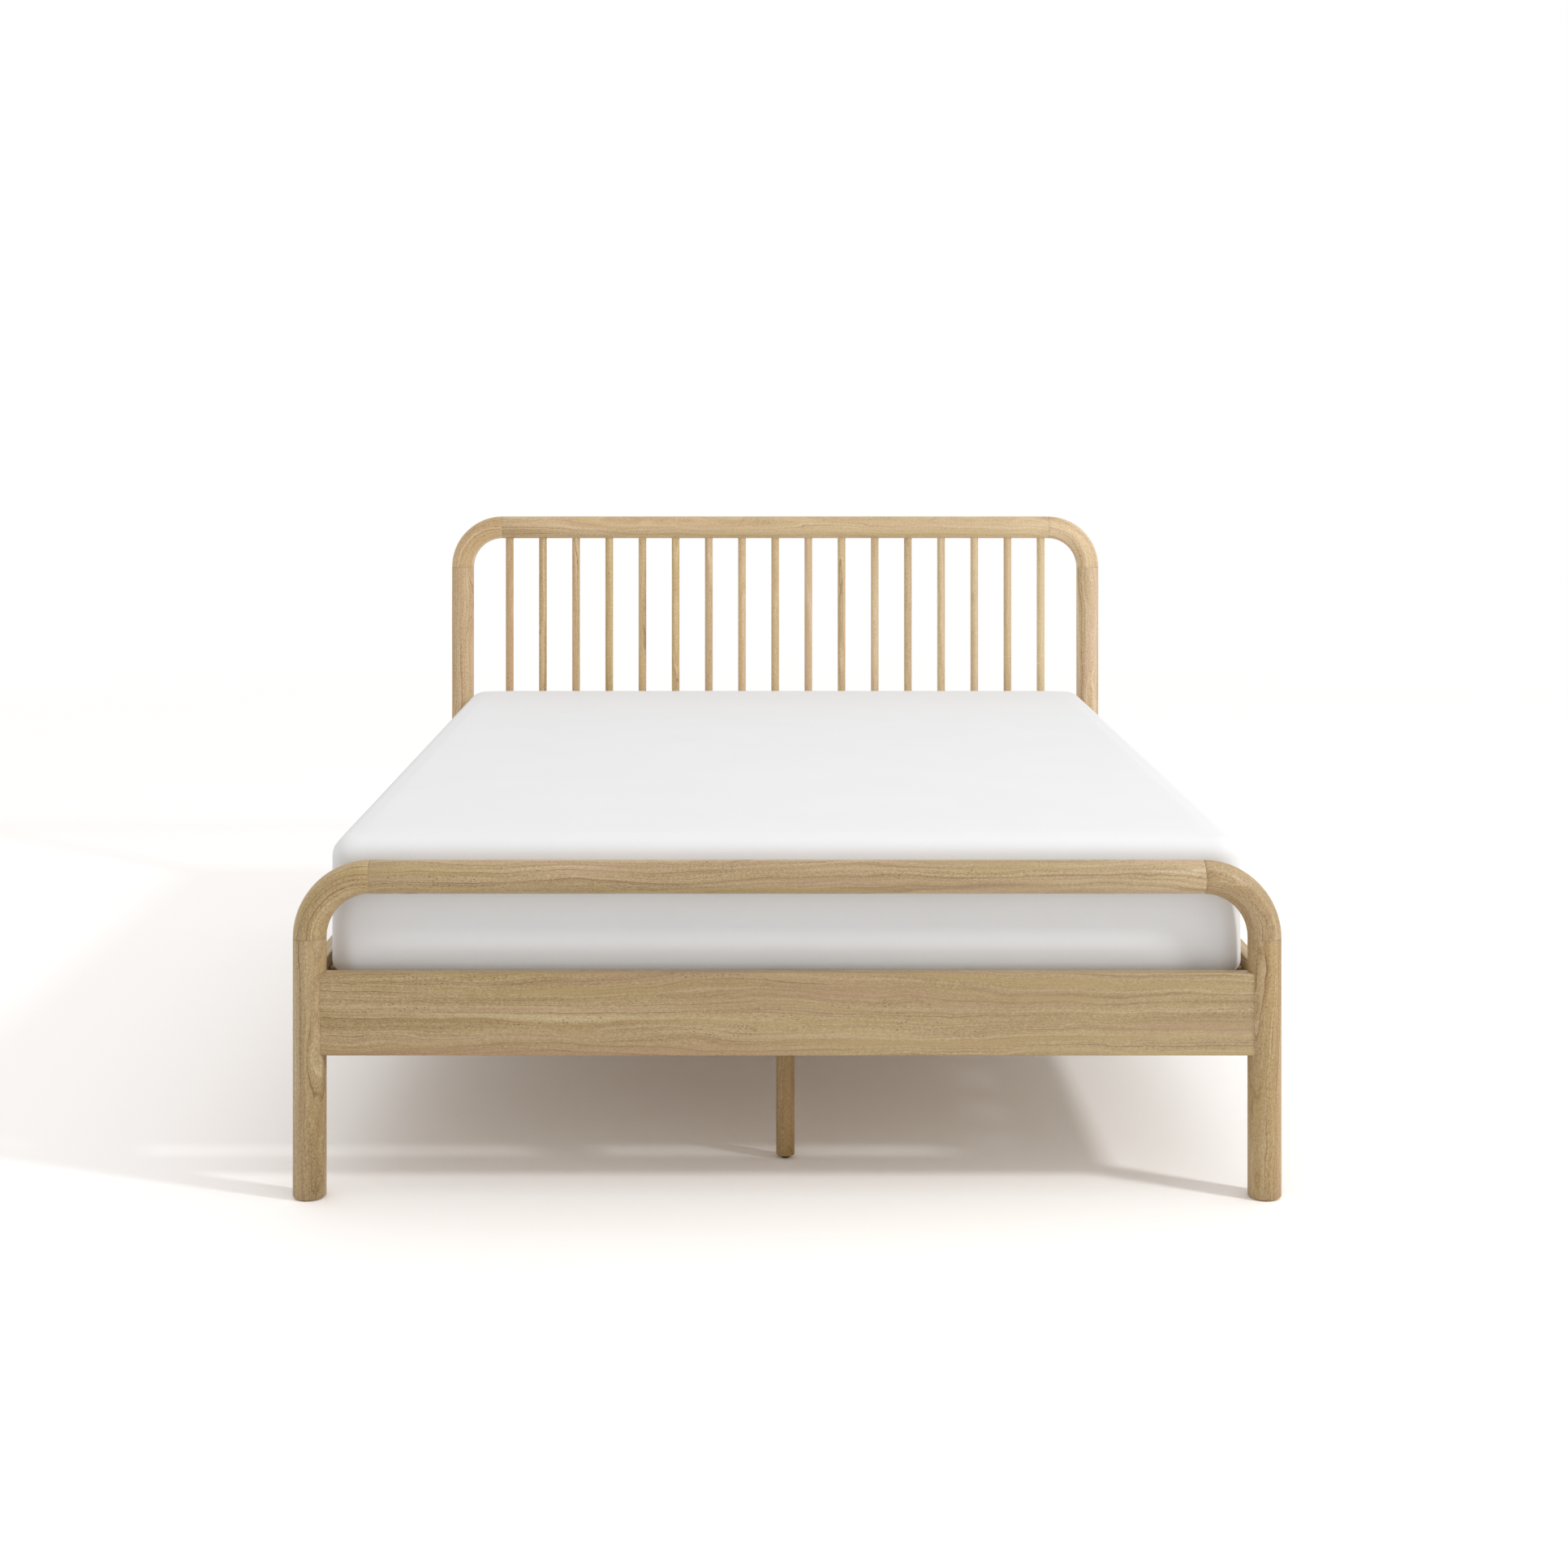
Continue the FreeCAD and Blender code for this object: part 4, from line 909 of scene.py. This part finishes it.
def knitMaterial():
    k = knitLooks
    material, tree, shader = newMaterial("whiteKnit")
    where = tree.nodes.new("ShaderNodeTexCoord").outputs["Object"]
    soft = noise(tree, where, k["softCells"], 2)
    fuzz = noise(tree, where, k["fuzzCells"], 2)
    colour = blendColour(tree, soft, k["paler"], k["palest"])
    gaps = ramp(tree, fuzz, *k["fuzzRange"], 0.0, k["fuzzMost"])
    colour = blendColour(tree, gaps, colour, k["between"])
    loop = addNode(tree, "ShaderNodeTexWave", {
        "Vector": where, "Scale": k["loopScale"], "Distortion": k["loopDistortion"],
        "Detail": 1.0}, wave_type="BANDS", bands_direction="DIAGONAL")
    height = calc(tree, "MULTIPLY_ADD", fuzz, k["fuzzHeight"], loop.outputs["Fac"])
    rough = calc(tree, "MULTIPLY_ADD", fuzz, k["fuzzRoughness"], k["roughness"])
    finishShader(tree, shader, colour, rough, height, k["bumpStrength"], k["bumpDepth"])
    shader.inputs["Sheen Weight"].default_value = k["sheen"]
    shader.inputs["Sheen Roughness"].default_value = k["sheenRoughness"]
    return material


def onTicking(point, m):
    # the nearest point of the tight, round-edged outline, and the way outwards from it
    inset = m["startInset"]
    radius = m["topRadius"] if point.z > (m["seat"] + m["top"]) / 2 else m["lowRadius"]
    x, y = point.x, point.y - m["shift"]
    halfX = m["halfWidth"] - inset - m["cornerRadius"]
    halfY = m["halfLength"] - inset - m["cornerRadius"]
    core = Vector((min(max(x, -halfX), halfX), min(max(y, -halfY), halfY)))
    corner = Vector((x, y)) - core
    reach = m["cornerRadius"] - radius
    if corner.length > reach:
        corner = corner.normalized() * reach
    core += corner
    level = 1 - (x / m["halfWidth"]) ** 2, 1 - (y / m["halfLength"]) ** 2
    low = m["seat"] + inset + radius
    high = m["top"] - m["crown"] * (1 - max(level[0], 0) * max(level[1], 0)) - inset - radius
    heart = Vector((core.x, core.y + m["shift"], min(max(point.z, low), high)))
    outward = (point - heart).normalized()
    return heart + outward * radius, outward


def swell(pad, m):
    cloth = pad.modifiers.new("cloth", "CLOTH")
    cloth.settings.use_pressure = True
    cloth.settings.uniform_pressure_force = m["pressure"]
    cloth.settings.effector_weights.gravity = 0
    cloth.settings.quality = m["quality"]
    cloth.collision_settings.use_collision = False
    scene = bpy.context.scene
    for number in range(1, m["frames"] + 1):
        scene.frame_set(number)
    freeze(pad)
    scene.frame_set(1)


def buildMattress():
    m = mattress
    mesh = nodes["mattress"].data.copy()
    outwardFaces(mesh)
    pad = addObject("mattressPad", mesh)
    bpy.context.view_layer.objects.active = pad
    remesh = pad.modifiers.new("remesh", "REMESH")
    remesh.mode = "VOXEL"
    remesh.voxel_size = m["voxel"]
    freeze(pad)
    for v in pad.data.vertices:
        v.co = onTicking(v.co, m)[0]
    start = [v.co.copy() for v in pad.data.vertices]
    swell(pad, m)
    # the swelling goes through the subdivision as an attribute, and is laid on the finer outline
    fullness = pad.data.attributes.new("swelling", "FLOAT", "POINT")
    for i, (v, rest) in enumerate(zip(pad.data.vertices, start)):
        step = (v.co - rest).dot(onTicking(rest, m)[1])
        fullness.data[i].value = min(max(step, 0.0), m["cap"])
        v.co = rest
    fine = pad.modifiers.new("fine", "SUBSURF")
    fine.levels = fine.render_levels = 1
    freeze(pad)
    fullness = pad.data.attributes["swelling"]
    for v in pad.data.vertices:
        place, outward = onTicking(v.co, m)
        v.co = place + outward * fullness.data[v.index].value
        v.co.z = max(v.co.z, m["seat"])
    pad.data.attributes.remove(fullness)
    pad.data.shade_smooth()
    dress(pad, knitMaterial())
    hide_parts("mattress")
    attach(pad, "mattress_body")
    print("mattress:", len(pad.data.polygons), "faces")


buildMattress()


studio = {
    "floorSize": 160.0,
    "floorSeen": 1.14,                 # how pale the camera sees the lit floor
    "floorBounce": 0.95,               # how pale it is to the light that falls on it
    "lift": (0.045, 0.022, 0.006, 1),  # warmth that the shadows keep
    "fadeFrom": 3.6,                   # metres from the bed to where the backdrop begins
    "fadeTo": 7.5,
    "skyEven": 0.45,                   # soft light from every side
    "skyOverhead": 0.55,               # and more of it from above
    "keyFrom": (4.75, -3.22, 4.05),
    "keySize": 0.65,
    "keyPower": 140.0,
    "keyAim": (0, 0, 0.3),
}


def seenDirectly(tree):
    # camera, glossy and transmission rays
    path = tree.nodes.new("ShaderNodeLightPath").outputs
    seen = calc(tree, "MAXIMUM", path["Is Camera Ray"], path["Is Glossy Ray"])
    return calc(tree, "MAXIMUM", seen, path["Is Transmission Ray"])


def floorMaterial():
    # plain pale floor that keeps the shadow and runs out into a white backdrop
    s = studio
    material, tree, shader = newMaterial("paleFloor")
    tree.nodes.remove(shader)
    bounce = addNode(tree, "ShaderNodeBsdfDiffuse", {"Color": (s["floorBounce"],) * 3 + (1,)})
    shown = addNode(tree, "ShaderNodeBsdfDiffuse", {"Color": (s["floorSeen"],) * 3 + (1,)})
    lift = addNode(tree, "ShaderNodeEmission", {"Color": s["lift"]})
    warm = addNode(tree, "ShaderNodeAddShader", {0: shown.outputs[0], 1: lift.outputs[0]})
    white = addNode(tree, "ShaderNodeEmission", {"Color": (1, 1, 1, 1)})
    where = tree.nodes.new("ShaderNodeTexCoord").outputs["Object"]
    away = calcVector(tree, "LENGTH", where)
    far = ramp(tree, away, s["fadeFrom"], s["fadeTo"])
    seen = addNode(tree, "ShaderNodeMixShader", {0: far, 1: warm.outputs[0], 2: white.outputs[0]})
    both = addNode(tree, "ShaderNodeMixShader", {0: seenDirectly(tree), 1: bounce.outputs[0],
                                                 2: seen.outputs[0]})
    out = next(n for n in tree.nodes if n.type == "OUTPUT_MATERIAL")
    tree.links.new(both.outputs[0], out.inputs["Surface"])
    return material


def buildStudio():
    s = studio
    half = s["floorSize"] / 2
    mesh = bpy.data.meshes.new("studioFloor")
    corners = [(-half, -half, 0), (half, -half, 0), (half, half, 0), (-half, half, 0)]
    mesh.from_pydata(corners, [], [(0, 1, 2, 3)])
    floor = addObject("studioFloor", mesh)
    dress(floor, floorMaterial())

    world = bpy.data.worlds.new("studio")
    bpy.context.scene.world = world
    world.use_nodes = True
    tree = world.node_tree
    tree.nodes.clear()
    direction = tree.nodes.new("ShaderNodeTexCoord").outputs["Generated"]
    height = addNode(tree, "ShaderNodeSeparateXYZ", {"Vector": direction}).outputs["Z"]
    overhead = calc(tree, "MAXIMUM", height, 0.0)
    sky = calc(tree, "MULTIPLY_ADD", overhead, s["skyOverhead"], s["skyEven"])
    dim = addNode(tree, "ShaderNodeBackground", {"Strength": sky})
    bright = addNode(tree, "ShaderNodeBackground", {"Strength": 1.0})
    for back in (dim, bright):
        back.inputs["Color"].default_value = (1, 1, 1, 1)
    pick = addNode(tree, "ShaderNodeMixShader", {0: seenDirectly(tree), 1: dim.outputs[0],
                                                 2: bright.outputs[0]})
    out = tree.nodes.new("ShaderNodeOutputWorld")
    tree.links.new(pick.outputs[0], out.inputs["Surface"])

    lamp = bpy.data.lights.new("keyLight", "AREA")
    lamp.shape = "DISK"
    lamp.size = s["keySize"]
    lamp.energy = s["keyPower"]
    key = addObject("keyLight", lamp)
    key.location = s["keyFrom"]
    aim = Vector(s["keyAim"]) - Vector(s["keyFrom"])
    key.rotation_euler = aim.to_track_quat("-Z", "Y").to_euler()


buildStudio()

# the photograph was taken level, with the lens shifted down
view = {
    "place": (-0.0567, -4.9661, 1.3148),
    "lens": 54.79,
    "shift": (0.0200, -0.2464),
    "sensor": 36,
    "sees": 200,              # metres
}


def placeCamera():
    camera = bpy.data.cameras.new("camera")
    camera.sensor_width = view["sensor"]
    camera.lens = view["lens"]
    camera.shift_x, camera.shift_y = view["shift"]
    camera.clip_end = view["sees"]
    obj = addObject("camera", camera)
    obj.location = view["place"]
    obj.rotation_euler = (math.pi / 2, 0, 0)
    bpy.context.scene.camera = obj


placeCamera()
bpy.context.scene.view_settings.view_transform = "Standard"
